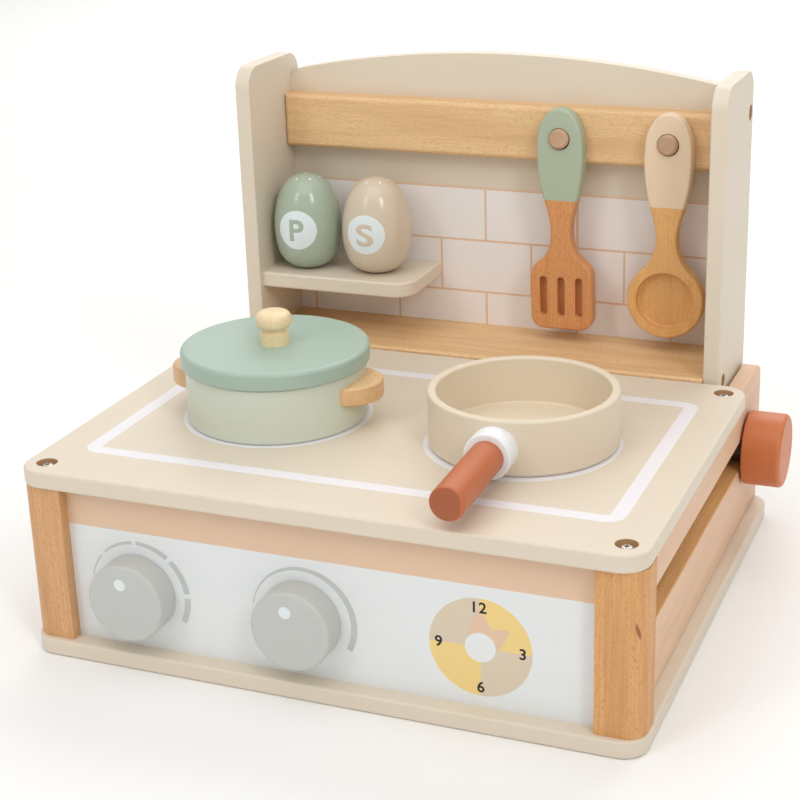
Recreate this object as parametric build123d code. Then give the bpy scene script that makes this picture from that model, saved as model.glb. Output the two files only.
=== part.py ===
from build123d import *
import math
import os

os.makedirs("parts", exist_ok=True)

# Tabletop play kitchen. Millimetres, +X to the right, +Y to the back, +Z up.
# The origin is on the resting plane, below the centre of the whole outline.

# Hob box
cooktop_w = 360.0
cooktop_gap = 3.0
cooktop_corner_r = 15.0
base_proud = 0.75
base_d = 327.0
base_corner_r = 14.0
board_thk = 10.0
board_edge_r = 1.5
box_clear_h = 94.0
post_w = 26.0
post_d = 22.0
post_setback = 3.5
post_nose_r = 11.0
front_setback = 10.7
side_board_thk = 10.0
side_board_tail_r = 10.0
wood_edge_r = 1.0
panel_dowel_d = 6.0
panel_dowel_len = 20.0
panel_dowel_heights = (20.0, 74.0)

# Screws
screw_d = 3.5
screw_head_d = 7.0
screw_head_h = 2.4
screw_len = 30.0
short_screw_len = 16.0
recess_d = 12.0
recess_depth = 3.6
side_recess_d = 10.0
cooktop_screw_rear_inset = 13.6
base_screw_front = 60.0
base_screw_rear_inset = 27.0
rail_screw_shares = (-0.8, 0.0, 0.55)
shelf_screw_shares = (-0.8, -0.42)

# Front dials
dial_d = 46.5
dial_len = 15.9
dial_edge_r = 2.0
dial_back_edge_r = 0.6
dial_gap = 0.3
dial_left_x = -112.3
dial_right_x = -11.5
dial_h = 33.8
dial_axle_d = 6.0
dial_axle_seat = 11.0
dial_axle_head_d = 11.0
dial_axle_head_h = 2.5
dial_washer_d = 16.0
dial_washer_thk = 1.0

# Fold joint and clamp
pivot_h = 51.0
pivot_from_rear = 43.0
bush_d = 18.0
slot_play = 0.4
panel_gap = 1.8
face_play = 0.1
spacer_d = 27.0
washer_d = 28.0
washer_thk = 1.3
bolt_d = 6.0
bolt_head_d = 16.0
bolt_head_h = 3.2
bolt_head_edge_r = 1.9
bolt_in_knob = 17.0
bolt_end_gap = 1.0
running_play = 0.08
insert_d = 10.0
clamp_knob_d = 47.0
clamp_knob_len = 24.5
clamp_knob_edge_r = 3.0
clamp_knob_back_edge_r = 1.0

# Backsplash
panel_d = 75.0
panel_rise = 180.2
panel_top_r = 14.0
foot_gap = 3.0
back_recess = 2.5
arch_rise = 184.4
arch_end_rise = 168.5
arch_end_r = 7.0
rail_thk = 13.0
rail_h = 35.0
rail_rise = 119.5
rail_edge_r = 3.0
ledge_thk = 10.0
ledge_rise = 1.5
ledge_gap = 1.5
ledge_edge_r = 2.0
shelf_w = 105.8
shelf_d = 58.5
shelf_rise = 43.3
shelf_corner_r = 15.0
panel_screw_rise = 153.6
panel_screw_ledge_back = 14.5

# Hanging pegs and utensils
peg_d = 12.8
peg_out = 13.5
peg_in = 9.0
peg_chamfer = 1.4
spatula_x = 45.8
spoon_x = 115.6
hang_hole_d = 14.0
hang_gap = 0.3
utensil_thk = 10.0
utensil_gap = 0.4
utensil_edge_r = 1.5
grip_w = 30.0
grip_top = 19.1
grip_crown_w_share = 0.66
grip_crown_h_share = 0.7
grip_wide_drop = 9.4
grip_paint_drop = 38.4
grip_paint_w = 22.6
neck_drop = 61.0
neck_w = 13.4
spatula_tilt = 0.8
blade_w = 41.4
blade_shoulder_drop = 91.5
blade_slope_w_share = 0.57
blade_slope_drop = 77.5
blade_end_drop = 125.8
blade_corner_r = 8.5
blade_slot_w = 5.1
blade_slot_len = 26.5
blade_slot_pitch = 11.9
blade_slot_drop = 103.5
bowl_d = 49.4
bowl_drop = 100.4
bowl_recess_d = 37.5
bowl_recess_depth = 5.5
bowl_recess_floor_r = 1.5

# Pot
hob_x = 76.5
pot_d = 107.0
pot_h = 33.6
pot_wall = 5.0
pot_floor = 7.0
pot_foot_r = 2.0
pot_rim_r = 1.2
pot_floor_r = 3.0
lid_d = 111.4
lid_thk = 10.2
lid_edge_r = 2.6
lid_under_edge_r = 1.0
lid_plug_thk = 3.0
lid_plug_play = 0.6
ear_reach = 13.5
ear_half_span = 20.0
ear_thk = 11.0
ear_h = 16.3
ear_edge_r = 1.5
ear_dowel_d = 4.0
ear_dowel_pitch = 20.0
ear_dowel_len = 12.0
ear_dowel_skin = 0.5
lid_knob_collar_d = 17.6
lid_knob_collar_h = 6.2
lid_knob_neck_d = 13.6
lid_knob_neck_h = 8.0
lid_knob_cap_h = 9.8
lid_knob_cap_share = 0.78
lid_knob_wide_h = 14.3
lid_knob_head_d = 21.2
lid_knob_h = 20.0
lid_knob_crown_d = 8.0
lid_tenon_d = 6.0
lid_tenon_in = 6.0
lid_tenon_up = 10.0

# Pan
pan_d = 108.6
pan_h = 32.3
pan_wall = 5.1
pan_floor = 4.5
pan_rim_r = 1.3
pan_foot_r = 2.5
pan_floor_r = 1.2
pan_shift_back = 2.6
pan_turn = 1.1
pan_handle_h = 16.1
pan_collar_d = 26.4
pan_collar_out = 12.6
pan_collar_edge_r = 1.0
pan_handle_d = 19.2
pan_handle_out = 63.0
pan_handle_seat = 6.0
pan_handle_edge_r = 1.3
pan_tenon_d = 10.0
pan_tenon_in_handle = 18.0

# Shakers
shaker_h = 63.6
shaker_belly_h = 28.0
shaker_low_r = 17.0
shaker_side_r = 60.0
pepper_d = 45.2
salt_d = 46.2
pepper_from_side = 23.6
salt_from_side = 72.7
pepper_from_back = 34.0
salt_from_back = 31.5

# Cutters reach this far past a face, and free edges lie at least this far from a wall
cut_over = 1.0
edge_gap = 0.1

# Places worked out from the sizes
cooktop_d = base_d - panel_d - cooktop_gap
base_w = cooktop_w + 2 * base_proud
hob_back = cooktop_d / 2
box_floor_z = board_thk
box_ceiling_z = box_floor_z + box_clear_h
cooktop_z = box_ceiling_z + board_thk
dial_overhang = dial_gap + dial_len - front_setback
front_y = (dial_overhang - base_d) / 2
post_x = (cooktop_w - post_w) / 2
side_in_x = post_x - side_board_thk / 2
side_out_x = post_x + side_board_thk / 2
panel_out_x = side_in_x - panel_gap
panel_in_x = panel_out_x - board_thk


def back(distance):
    """Y of the plane that lies this far behind the cooktop's front edge."""
    return front_y + distance


post_mid_y = back(post_setback + post_d / 2)
panel_face_y = back(front_setback)
panel_back_y = panel_face_y + board_thk
rear_y = back(base_d)
pivot_y = rear_y - pivot_from_rear
pivot_z = box_floor_z + pivot_h
panel_front_y = rear_y - panel_d
back_board_y = rear_y - back_recess - board_thk
rail_y = back_board_y - rail_thk
ledge_top_z = cooktop_z + ledge_rise
ledge_z = ledge_top_z - ledge_thk
ledge_y = back(cooktop_d + ledge_gap)
rail_z = cooktop_z + rail_rise
shelf_z = cooktop_z + shelf_rise
shelf_y = back_board_y - shelf_d
peg_z = rail_z + rail_h / 2
peg_end_y = rail_y - peg_out
utensil_y = rail_y - utensil_gap - utensil_thk
hang_hole_z = peg_z + peg_d / 2 + hang_gap - hang_hole_d / 2
clamp_face_x = side_out_x + 2 * face_play + washer_thk


def save(shape, name):
    """Write one named piece."""
    export_step(shape, f"parts/{name}.step")


def save_pair(make, name):
    """Write the right piece and its mirror image on the left."""
    right = make()
    save(right, f"{name}_right")
    save(mirror(right, about=Plane.YZ), f"{name}_left")


def rod(diameter, start, end):
    """Round bar between two points."""
    axis = Vector(end) - Vector(start)
    return extrude(Plane(Vector(start), z_dir=axis) * Circle(diameter / 2), axis.length)


def edges_at(shape, axis, value, size=0.01):
    """Edges that lie whole in the plane where this axis has this value."""
    picked = ShapeList()
    for edge in shape.edges():
        box = edge.bounding_box()
        low = getattr(box.min, axis)
        high = getattr(box.max, axis)
        if abs(low - value) < size and abs(high - value) < size:
            picked.append(edge)
    return picked


def flat_board(width, depth, thickness, centre_y, bottom_z, corner_r):
    """Board that lies flat, with rounded plan corners and softened edges."""
    plan = Plane((0, centre_y, bottom_z)) * RectangleRounded(width, depth, corner_r)
    board = extrude(plan, thickness)
    rims = edges_at(board, "Z", bottom_z) + edges_at(board, "Z", bottom_z + thickness)
    return fillet(rims, board_edge_r)


def screw(head, direction, length):
    """Pan head screw: head is the point under the head, direction is where the shank goes."""
    way = Vector(direction)
    seat = Vector(head)
    shank = rod(screw_d, seat, seat + way * length)
    cap = rod(screw_head_d, seat, seat - way * screw_head_h)
    return cap + shank


def recess(mouth, direction, diameter):
    """Round recess that is sunk from the mouth point for a screw head."""
    way = Vector(direction)
    start = Vector(mouth)
    return rod(diameter, start - way * cut_over, start + way * recess_depth)


def both_sides(shape):
    """The shape and its mirror image."""
    return Compound(children=shape.solids() + mirror(shape, about=Plane.YZ).solids())


# Screws are made first, because the boards are drilled with them.
down = (0, 0, -1)
up = (0, 0, 1)
inward = (-1, 0, 0)
forward = (0, -1, 0)
cooktop_screw_spots = (
    (post_x, post_mid_y),
    (post_x, back(cooktop_d - cooktop_screw_rear_inset)),
)
base_screw_spots = (
    (post_x, post_mid_y),
    (post_x, back(base_screw_front)),
    (post_x, rear_y - base_screw_rear_inset),
)


def cooktop_screws():
    seat_z = cooktop_z - recess_depth
    screws = [screw((x, y, seat_z), down, screw_len) for x, y in cooktop_screw_spots]
    return both_sides(Compound(children=screws))


def base_screws():
    screws = [screw((x, y, recess_depth), up, screw_len) for x, y in base_screw_spots]
    return both_sides(Compound(children=screws))


panel_screw_spots = (
    (back_board_y + board_thk / 2, cooktop_z + panel_screw_rise),
    (ledge_y + panel_screw_ledge_back, ledge_z + ledge_thk / 2),
)


def backsplash_screws():
    seat_x = panel_out_x - recess_depth
    screws = [screw((seat_x, y, z), inward, screw_len) for y, z in panel_screw_spots]
    return both_sides(Compound(children=screws))


def rear_screws(places):
    """Screws through the back board from behind, with their heads sunk in it."""
    seat_y = back_board_y + board_thk - recess_depth
    screws = [screw((x, seat_y, z), forward, short_screw_len) for x, z in places]
    return Compound(children=screws)


shelf_screw_z = shelf_z - board_thk / 2
rail_screw_places = [(panel_in_x * share, peg_z) for share in rail_screw_shares]
shelf_screw_places = [(panel_in_x * share, shelf_screw_z) for share in shelf_screw_shares]


def panel_dowels():
    """Dowels between the front panel and the posts."""
    middle_y = panel_face_y + board_thk / 2
    joint_x = post_x - post_w / 2
    start_x = joint_x - panel_dowel_len / 2
    end_x = joint_x + panel_dowel_len / 2
    dowels = []
    for height in panel_dowel_heights:
        z = box_floor_z + height
        dowels.append(rod(panel_dowel_d, (start_x, middle_y, z), (end_x, middle_y, z)))
    return both_sides(Compound(children=dowels))


def base_board():
    middle_y = back(base_d / 2)
    board = flat_board(base_w, base_d, board_thk, middle_y, 0, base_corner_r)
    for x, y in base_screw_spots:
        for side in (-1, 1):
            board -= recess((side * x, y, 0), up, recess_d)
    return board - base_screws()


def cooktop():
    middle_y = back(cooktop_d / 2)
    board = flat_board(cooktop_w, cooktop_d, board_thk, middle_y, box_ceiling_z, cooktop_corner_r)
    for x, y in cooktop_screw_spots:
        for side in (-1, 1):
            board -= recess((side * x, y, cooktop_z), down, recess_d)
    return board - cooktop_screws()


def front_panel():
    """Front board between the posts, with a hole for each dial axle."""
    width = 2 * post_x - post_w
    middle = Pos(0, panel_face_y + board_thk / 2, box_floor_z + box_clear_h / 2)
    board = middle * Box(width, board_thk, box_clear_h)
    z = box_floor_z + dial_h
    front = panel_face_y - cut_over
    rear = panel_back_y + cut_over
    for x in (dial_left_x, dial_right_x):
        board -= rod(dial_axle_d + 2 * running_play, (x, front, z), (x, rear, z))
    return board - panel_dowels()


def front_post():
    """Beech post whose outer front corner is rounded like a nose."""
    plan = Plane((post_x, post_mid_y, box_floor_z)) * Rectangle(post_w, post_d)
    post = extrude(plan, box_clear_h)
    outer = post.edges().filter_by(Axis.Z).group_by(Axis.X)[-1].sort_by(Axis.Y)
    post = fillet(outer[0], post_nose_r)
    rear = post.edges().filter_by(Axis.Z).group_by(Axis.Y)[-1].sort_by(Axis.X)
    post = fillet(rear[-1], wood_edge_r)
    return post - base_screws() - cooktop_screws() - panel_dowels()


def side_board():
    """Beech side board, forked by the long slot in which the bush of the clamp runs."""
    start = back(post_setback + post_d)
    side = Plane.YZ.offset(side_in_x)
    middle = side * Pos((start + rear_y) / 2, box_floor_z + box_clear_h / 2)
    board = extrude(middle * Rectangle(rear_y - start, box_clear_h), side_board_thk)
    tail = board.edges().filter_by(Axis.X).group_by(Axis.Z)[-1].sort_by(Axis.Y)[-1]
    board = fillet(tail, side_board_tail_r)
    slot_h = bush_d + 2 * slot_play
    slot_end = side * Pos(pivot_y, pivot_z) * Circle(slot_h / 2)
    slot_middle = side * Pos((start + pivot_y) / 2, pivot_z)
    slot_run = slot_middle * Rectangle(pivot_y - start, slot_h)
    board -= extrude(slot_end, side_board_thk) + extrude(slot_run, side_board_thk)
    board = fillet(edges_at(board, "X", side_out_x), wood_edge_r)
    return board - base_screws() - cooktop_screws()


def dial_knob(x):
    """Round dial that turns on its axle in front of the panel."""
    rear = panel_face_y - dial_gap
    z = box_floor_z + dial_h
    knob = rod(dial_d, (x, rear - dial_len, z), (x, rear, z))
    knob = fillet(edges_at(knob, "Y", rear - dial_len), dial_edge_r)
    knob = fillet(edges_at(knob, "Y", rear), dial_back_edge_r)
    return knob - rod(dial_axle_d, (x, rear - dial_axle_seat, z), (x, rear, z))


def dial_axle(x):
    """Axle that is glued in the dial, with its head behind the panel."""
    z = box_floor_z + dial_h
    head_y = panel_back_y + dial_gap + dial_washer_thk
    front = panel_face_y - dial_gap - dial_axle_seat
    shaft = rod(dial_axle_d, (x, front, z), (x, head_y, z))
    return shaft + rod(dial_axle_head_d, (x, head_y, z), (x, head_y + dial_axle_head_h, z))


def dial_washer(x):
    z = box_floor_z + dial_h
    front = panel_back_y + dial_gap
    rear = front + dial_washer_thk
    disc = rod(dial_washer_d, (x, front, z), (x, rear, z))
    return disc - rod(dial_axle_d, (x, front - cut_over, z), (x, rear + cut_over, z))


def pivot_rod(diameter, start_x, end_x):
    """Round bar on the fold axis."""
    return rod(diameter, (start_x, pivot_y, pivot_z), (end_x, pivot_y, pivot_z))


def ring(outer_d, inner_d, start_x, end_x):
    """Ring about the fold axis."""
    outer = pivot_rod(outer_d, start_x, end_x)
    return outer - pivot_rod(inner_d, start_x - cut_over, end_x + cut_over)


def clamp_spacer():
    """Friction ring between side panel and side board."""
    return ring(spacer_d, bush_d, panel_out_x, side_in_x - face_play)


def clamp_bush():
    """Bush on the bolt, which runs in the slot of the side board."""
    return ring(bush_d, bolt_d, panel_out_x, side_out_x)


def clamp_washer():
    start_x = side_out_x + face_play
    return ring(washer_d, bolt_d, start_x, start_x + washer_thk)


def clamp_bolt():
    """Bolt with its head inside the side panel and its end in the clamp knob."""
    head_x = panel_in_x - bolt_head_h
    head = pivot_rod(bolt_head_d, head_x, panel_in_x)
    head = fillet(edges_at(head, "X", head_x), bolt_head_edge_r)
    return head + pivot_rod(bolt_d, panel_in_x, clamp_face_x + bolt_in_knob)


def clamp_insert():
    """Insert that carries the clamp knob on the bolt."""
    bore_d = bolt_d + 2 * running_play
    return ring(insert_d, bore_d, clamp_face_x, clamp_face_x + bolt_in_knob)


def clamp_knob():
    """Turned knob with a blind hole for its insert and the bolt."""
    end_x = clamp_face_x + clamp_knob_len
    knob = pivot_rod(clamp_knob_d, clamp_face_x, end_x)
    knob = fillet(edges_at(knob, "X", end_x), clamp_knob_edge_r)
    knob = fillet(edges_at(knob, "X", clamp_face_x), clamp_knob_back_edge_r)
    seat_end = clamp_face_x + bolt_in_knob
    knob -= pivot_rod(insert_d, clamp_face_x, seat_end)
    return knob - pivot_rod(bolt_d + 2 * running_play, seat_end, seat_end + bolt_end_gap)


def backsplash_side():
    """Side panel: round shoulders at the top, and a foot that is an arc about the fold axis."""
    foot_r = pivot_h - foot_gap
    top = cooktop_z + panel_rise
    middle_y = (panel_front_y + rear_y) / 2
    side = Plane.YZ.offset(panel_in_x)
    upright = side * Pos(middle_y, (top + pivot_z) / 2) * Rectangle(panel_d, top - pivot_z)
    panel = extrude(upright, board_thk)
    panel = fillet(panel.edges().filter_by(Axis.X).group_by(Axis.Z)[-1], panel_top_r)
    low = side * Pos(middle_y, pivot_z - foot_r / 2) * Rectangle(panel_d, foot_r)
    panel += extrude(low, board_thk) & pivot_rod(2 * foot_r, panel_in_x, panel_out_x)
    panel = fillet(edges_at(panel, "X", panel_out_x) + edges_at(panel, "X", panel_in_x), wood_edge_r)
    panel -= pivot_rod(bolt_d, panel_in_x, panel_out_x)
    for y, z in panel_screw_spots:
        panel -= recess((panel_out_x, y, z), inward, side_recess_d)
    return panel - backsplash_screws()


def back_board():
    """Back board with an arched top between the side panels."""
    end_z = cooktop_z + arch_end_rise
    crown_z = cooktop_z + arch_rise
    left = (-panel_in_x, end_z)
    right = (panel_in_x, end_z)
    sides = Polyline(left, (-panel_in_x, ledge_z), (panel_in_x, ledge_z), right)
    arch = ThreePointArc(right, (0, crown_z), left)
    face = make_face([*sides.edges(), arch])
    face = fillet(face.vertices().group_by(Axis.Y)[-1], arch_end_r)
    plane = Plane((0, back_board_y + board_thk, 0), x_dir=(1, 0, 0), z_dir=(0, -1, 0))
    board = extrude(plane * face, board_thk)
    places = rail_screw_places + shelf_screw_places
    for x, z in places:
        board -= recess((x, back_board_y + board_thk, z), forward, recess_d)
    return board - rear_screws(places) - backsplash_screws()


def hanging_peg(x):
    peg = rod(peg_d, (x, peg_end_y, peg_z), (x, rail_y + peg_in, peg_z))
    return chamfer(edges_at(peg, "Y", peg_end_y), peg_chamfer)


def hanging_rail():
    """Beech rail on the back board, with two blind holes for the pegs."""
    rail = Pos(0, rail_y + rail_thk / 2, peg_z) * Box(2 * panel_in_x, rail_thk, rail_h)
    rail = fillet(edges_at(rail, "Y", rail_y), rail_edge_r)
    for x in (spatula_x, spoon_x):
        rail -= rod(peg_d, (x, rail_y - cut_over, peg_z), (x, rail_y + peg_in, peg_z))
    return rail - rear_screws(rail_screw_places)


def ledge_board():
    """Beech ledge that closes the gap behind the cooktop."""
    depth = back_board_y - ledge_y
    middle = Pos(0, ledge_y + depth / 2, ledge_z + ledge_thk / 2)
    ledge = middle * Box(2 * panel_in_x, depth, ledge_thk)
    front = ledge.edges().filter_by(Axis.X).group_by(Axis.Y)[0]
    ledge = fillet(front, ledge_edge_r)
    return ledge - backsplash_screws()


def shelf():
    """Small shelf in the left corner, with its free front corner rounded."""
    middle = Pos(-panel_in_x + shelf_w / 2, shelf_y + shelf_d / 2, shelf_z - board_thk / 2)
    board = middle * Box(shelf_w, shelf_d, board_thk)
    corner = board.edges().filter_by(Axis.Z).group_by(Axis.Y)[0].sort_by(Axis.X)[-1]
    board = fillet(corner, shelf_corner_r)
    rims = edges_at(board, "Z", shelf_z) + edges_at(board, "Z", shelf_z - board_thk)
    rims = rims.filter_by(lambda e: e.center().Y < back_board_y - edge_gap)
    rims = rims.filter_by(lambda e: e.center().X > edge_gap - panel_in_x)
    board = fillet(rims, board_edge_r)
    return board - rear_screws(shelf_screw_places)


def grip_edge():
    """Right edge of a utensil grip, from its top to the neck, with the hang hole at 0, 0."""
    half = grip_w / 2
    top = (0, grip_top)
    shoulder = (half * grip_crown_w_share, grip_top * grip_crown_h_share)
    widest = (half, -grip_wide_drop)
    paint_line = (grip_paint_w / 2, -grip_paint_drop)
    neck = (neck_w / 2, -neck_drop)
    crown = Spline(top, shoulder, widest, tangents=((1, 0), (0, -1)))
    waist = Spline(widest, paint_line, neck, tangents=((0, -1), (0, -1)))
    return [crown, waist]


def utensil(edges, x, tilt):
    """Board cut to a mirrored outline, hung on the peg at this X."""
    right = ShapeList(edges)
    left = ShapeList([mirror(e, about=Plane.YZ) for e in edges])
    plane = Plane((x, utensil_y + utensil_thk, hang_hole_z), x_dir=(1, 0, 0), z_dir=(0, -1, 0))
    face = plane * Rot(0, 0, tilt) * make_face(right + left)
    blank = extrude(face, utensil_thk)
    rims = edges_at(blank, "Y", utensil_y) + edges_at(blank, "Y", utensil_y + utensil_thk)
    blank = fillet(rims, utensil_edge_r)
    front = utensil_y - cut_over
    rear = utensil_y + utensil_thk + cut_over
    return blank - rod(hang_hole_d, (x, front, hang_hole_z), (x, rear, hang_hole_z))


def spatula():
    """Slotted spatula: grip, neck, shoulders and a blade with three slots."""
    half = blade_w / 2
    end = -blade_end_drop
    neck = (neck_w / 2, -neck_drop)
    slope = (half * blade_slope_w_share, -blade_slope_drop)
    shoulder = (half, -blade_shoulder_drop)
    corner_start = (half, end + blade_corner_r)
    corner_end = (half - blade_corner_r, end)
    edges = grip_edge()
    edges.append(Spline(neck, slope, shoulder, tangents=((0, -1), (0, -1))))
    edges.append(Line(shoulder, corner_start))
    edges.append(RadiusArc(corner_start, corner_end, blade_corner_r))
    edges.append(Line(corner_end, (0, end)))
    blade = utensil(edges, spatula_x, spatula_tilt)
    back_y = utensil_y + utensil_thk + cut_over
    plane = Plane((spatula_x, back_y, hang_hole_z), x_dir=(1, 0, 0), z_dir=(0, -1, 0))
    for step in (-1, 0, 1):
        place = Rot(0, 0, spatula_tilt) * Pos(step * blade_slot_pitch, -blade_slot_drop)
        slot = plane * place * Rot(0, 0, 90) * SlotOverall(blade_slot_len, blade_slot_w)
        blade -= extrude(slot, utensil_thk + 2 * cut_over)
    return blade


def on_circle(x, height, radius, angle):
    """Point at this angle on a circle about the point x, height."""
    return (x + radius * math.cos(angle), height + radius * math.sin(angle))


def spoon():
    """Spoon: grip and neck that flow into a round bowl with a flat-bottomed recess."""
    bowl_r = bowl_d / 2
    half_neck = neck_w / 2
    fall = bowl_drop - neck_drop
    flare_r = (half_neck ** 2 + fall ** 2 - bowl_r ** 2) / (2 * (bowl_r - half_neck))
    angle = math.atan2(fall, half_neck + flare_r)
    join = on_circle(0, -bowl_drop, bowl_r, angle)
    flare_middle = on_circle(half_neck + flare_r, -neck_drop, -flare_r, angle / 2)
    bowl_side = on_circle(0, -bowl_drop, bowl_r, angle / 2 - math.pi / 4)
    edges = grip_edge()
    edges.append(ThreePointArc((half_neck, -neck_drop), flare_middle, join))
    edges.append(ThreePointArc(join, bowl_side, (0, -bowl_drop - bowl_r)))
    blank = utensil(edges, spoon_x, 0)
    z = hang_hole_z - bowl_drop
    floor_y = utensil_y + bowl_recess_depth
    hollow = rod(bowl_recess_d, (spoon_x, utensil_y - cut_over, z), (spoon_x, floor_y, z))
    return blank - fillet(edges_at(hollow, "Y", floor_y), bowl_recess_floor_r)


def turned(outline_edges, x, y, z):
    """Turned piece: an outline in the XZ plane spun about a vertical axis at x, y, z."""
    face = Plane.XZ * make_face(outline_edges)
    return Pos(x, y, z) * revolve(face, Axis.Z)


def dish(outer_d, height, wall, floor):
    """Plain round dish as outline: outside, rim, inside wall, floor."""
    r = outer_d / 2
    outside = [(0, 0), (r, 0), (r, height)]
    inside = [(r - wall, height), (r - wall, floor), (0, floor)]
    return make_face(Polyline(*outside, *inside, close=True).edges())


def round_corner(face, x, z, radius):
    """Round one corner of a flat outline."""
    vertex = face.vertices().sort_by(lambda v: (v.X - x) ** 2 + (v.Y - z) ** 2)[0]
    return fillet(vertex, radius)


def pot_body():
    """Pot turned from one block, drilled for the dowels of its ears."""
    r = pot_d / 2
    face = dish(pot_d, pot_h, pot_wall, pot_floor)
    face = round_corner(face, r, 0, pot_foot_r)
    face = round_corner(face, r, pot_h, pot_rim_r)
    face = round_corner(face, r - pot_wall, pot_floor, pot_floor_r)
    body = Pos(-hob_x, back(hob_back), cooktop_z) * revolve(Plane.XZ * face, Axis.Z)
    return body - pot_ear_dowels()


def pot_ear_dowels():
    """Four short dowels that hold the ears, each blind in the wall and in an ear."""
    z = cooktop_z + ear_h + ear_thk / 2
    bars = []
    for side in (-1, 1):
        for step in (-1, 1):
            y = back(hob_back) + step * ear_dowel_pitch / 2
            start = -hob_x + side * (pot_d / 2 - pot_wall + ear_dowel_skin)
            bars.append(rod(ear_dowel_d, (start, y, z), (start + side * ear_dowel_len, y, z)))
    return Compound(children=bars)


def pot_handle(side):
    """Half-moon ear, hollowed to lie on the round wall of the pot."""
    wall_r = pot_d / 2
    chord = math.sqrt(wall_r ** 2 - ear_half_span ** 2)
    sag = wall_r + ear_reach - chord
    moon_r = (ear_half_span ** 2 + sag ** 2) / (2 * sag)
    moon_x = wall_r + ear_reach - moon_r
    z = cooktop_z + ear_h
    y = back(hob_back)
    x = -hob_x + side * moon_x
    top = z + ear_thk
    moon = rod(2 * moon_r, (x, y, z), (x, y, top))
    moon = fillet(edges_at(moon, "Z", z) + edges_at(moon, "Z", top), ear_edge_r)
    moon -= rod(pot_d, (-hob_x, y, z - cut_over), (-hob_x, y, top + cut_over))
    return moon - pot_ear_dowels()


def lid_tenon():
    """Tenon that holds the knob on the lid."""
    x, y = -hob_x, back(hob_back)
    top = cooktop_z + pot_h + lid_thk
    return rod(lid_tenon_d, (x, y, top - lid_tenon_in), (x, y, top + lid_tenon_up))


def pot_lid():
    """Lid with a plug underneath that keeps it centred on the pot."""
    r = lid_d / 2
    plug_r = pot_d / 2 - pot_wall - lid_plug_play
    plug = [(0, -lid_plug_thk), (plug_r, -lid_plug_thk), (plug_r, 0)]
    plate = [(r, 0), (r, lid_thk), (0, lid_thk)]
    face = make_face(Polyline(*plug, *plate, close=True).edges())
    face = round_corner(face, r, lid_thk, lid_edge_r)
    face = round_corner(face, r, 0, lid_under_edge_r)
    lid = Pos(-hob_x, back(hob_back), cooktop_z + pot_h) * revolve(Plane.XZ * face, Axis.Z)
    return lid - lid_tenon()


def lid_knob():
    """Turned knob: collar, waist and mushroom head."""
    collar_r = lid_knob_collar_d / 2
    head_r = lid_knob_head_d / 2
    neck_r = lid_knob_neck_d / 2
    crown_r = lid_knob_crown_d / 2
    shoulder = (collar_r, lid_knob_collar_h)
    cap = (head_r * lid_knob_cap_share, lid_knob_cap_h)
    crown = (crown_r, lid_knob_h)
    outside = Polyline((0, lid_knob_h), (0, 0), (collar_r, 0), shoulder)
    waist = ThreePointArc(shoulder, (neck_r, lid_knob_neck_h), cap)
    head = Spline(cap, (head_r, lid_knob_wide_h), crown, tangents=((1, 0.5), (-1, 0)))
    top = Line(crown, (0, lid_knob_h))
    edges = [*outside.edges(), waist, head, top]
    knob = turned(edges, -hob_x, back(hob_back), cooktop_z + pot_h + lid_thk)
    return knob - lid_tenon()


pan_axis = Pos(hob_x, back(hob_back + pan_shift_back), cooktop_z)
pan_frame = pan_axis * Rot(0, 0, pan_turn)


def pan_bar(diameter, start, end):
    """Round bar along the pan's handle, between two distances from the pan's axis."""
    return rod(diameter, (0, -start, pan_handle_h), (0, -end, pan_handle_h))


def pan_tenon():
    """Tenon between the middle of the pan's wall and the handle, through the collar."""
    wall_in = pan_d / 2 - pan_wall
    end = pan_d / 2 + pan_collar_out - pan_handle_seat + pan_tenon_in_handle
    core = pan_bar(pan_tenon_d, wall_in - cut_over, end)
    return core - rod(2 * wall_in + pan_wall, (0, 0, 0), (0, 0, pan_h))


def pan_body():
    """Pan turned from one block, with a hole for the tenon of its handle."""
    r = pan_d / 2
    face = dish(pan_d, pan_h, pan_wall, pan_floor)
    face = round_corner(face, r, 0, pan_foot_r)
    face = round_corner(face, r, pan_h, pan_rim_r)
    face = round_corner(face, r - pan_wall, pan_h, pan_rim_r)
    face = round_corner(face, r - pan_wall, pan_floor, pan_floor_r)
    return revolve(Plane.XZ * face, Axis.Z) - pan_tenon()


def pan_collar():
    """White collar, coped to the round wall, with a seat for the handle."""
    end = pan_d / 2 + pan_collar_out
    collar = pan_bar(pan_collar_d, pan_d / 2 - pan_collar_out, end)
    collar = fillet(edges_at(collar, "Y", -end), pan_collar_edge_r)
    collar -= rod(pan_d, (0, 0, -cut_over), (0, 0, pan_h + cut_over))
    collar -= pan_bar(pan_handle_d, end - pan_handle_seat, end + cut_over)
    return collar - pan_bar(pan_tenon_d, 0, end)


def pan_handle():
    end = pan_d / 2 + pan_collar_out
    tip = end + pan_handle_out
    handle = pan_bar(pan_handle_d, end - pan_handle_seat, tip)
    handle = fillet(edges_at(handle, "Y", -tip), pan_handle_edge_r)
    return handle - pan_tenon()


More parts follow.
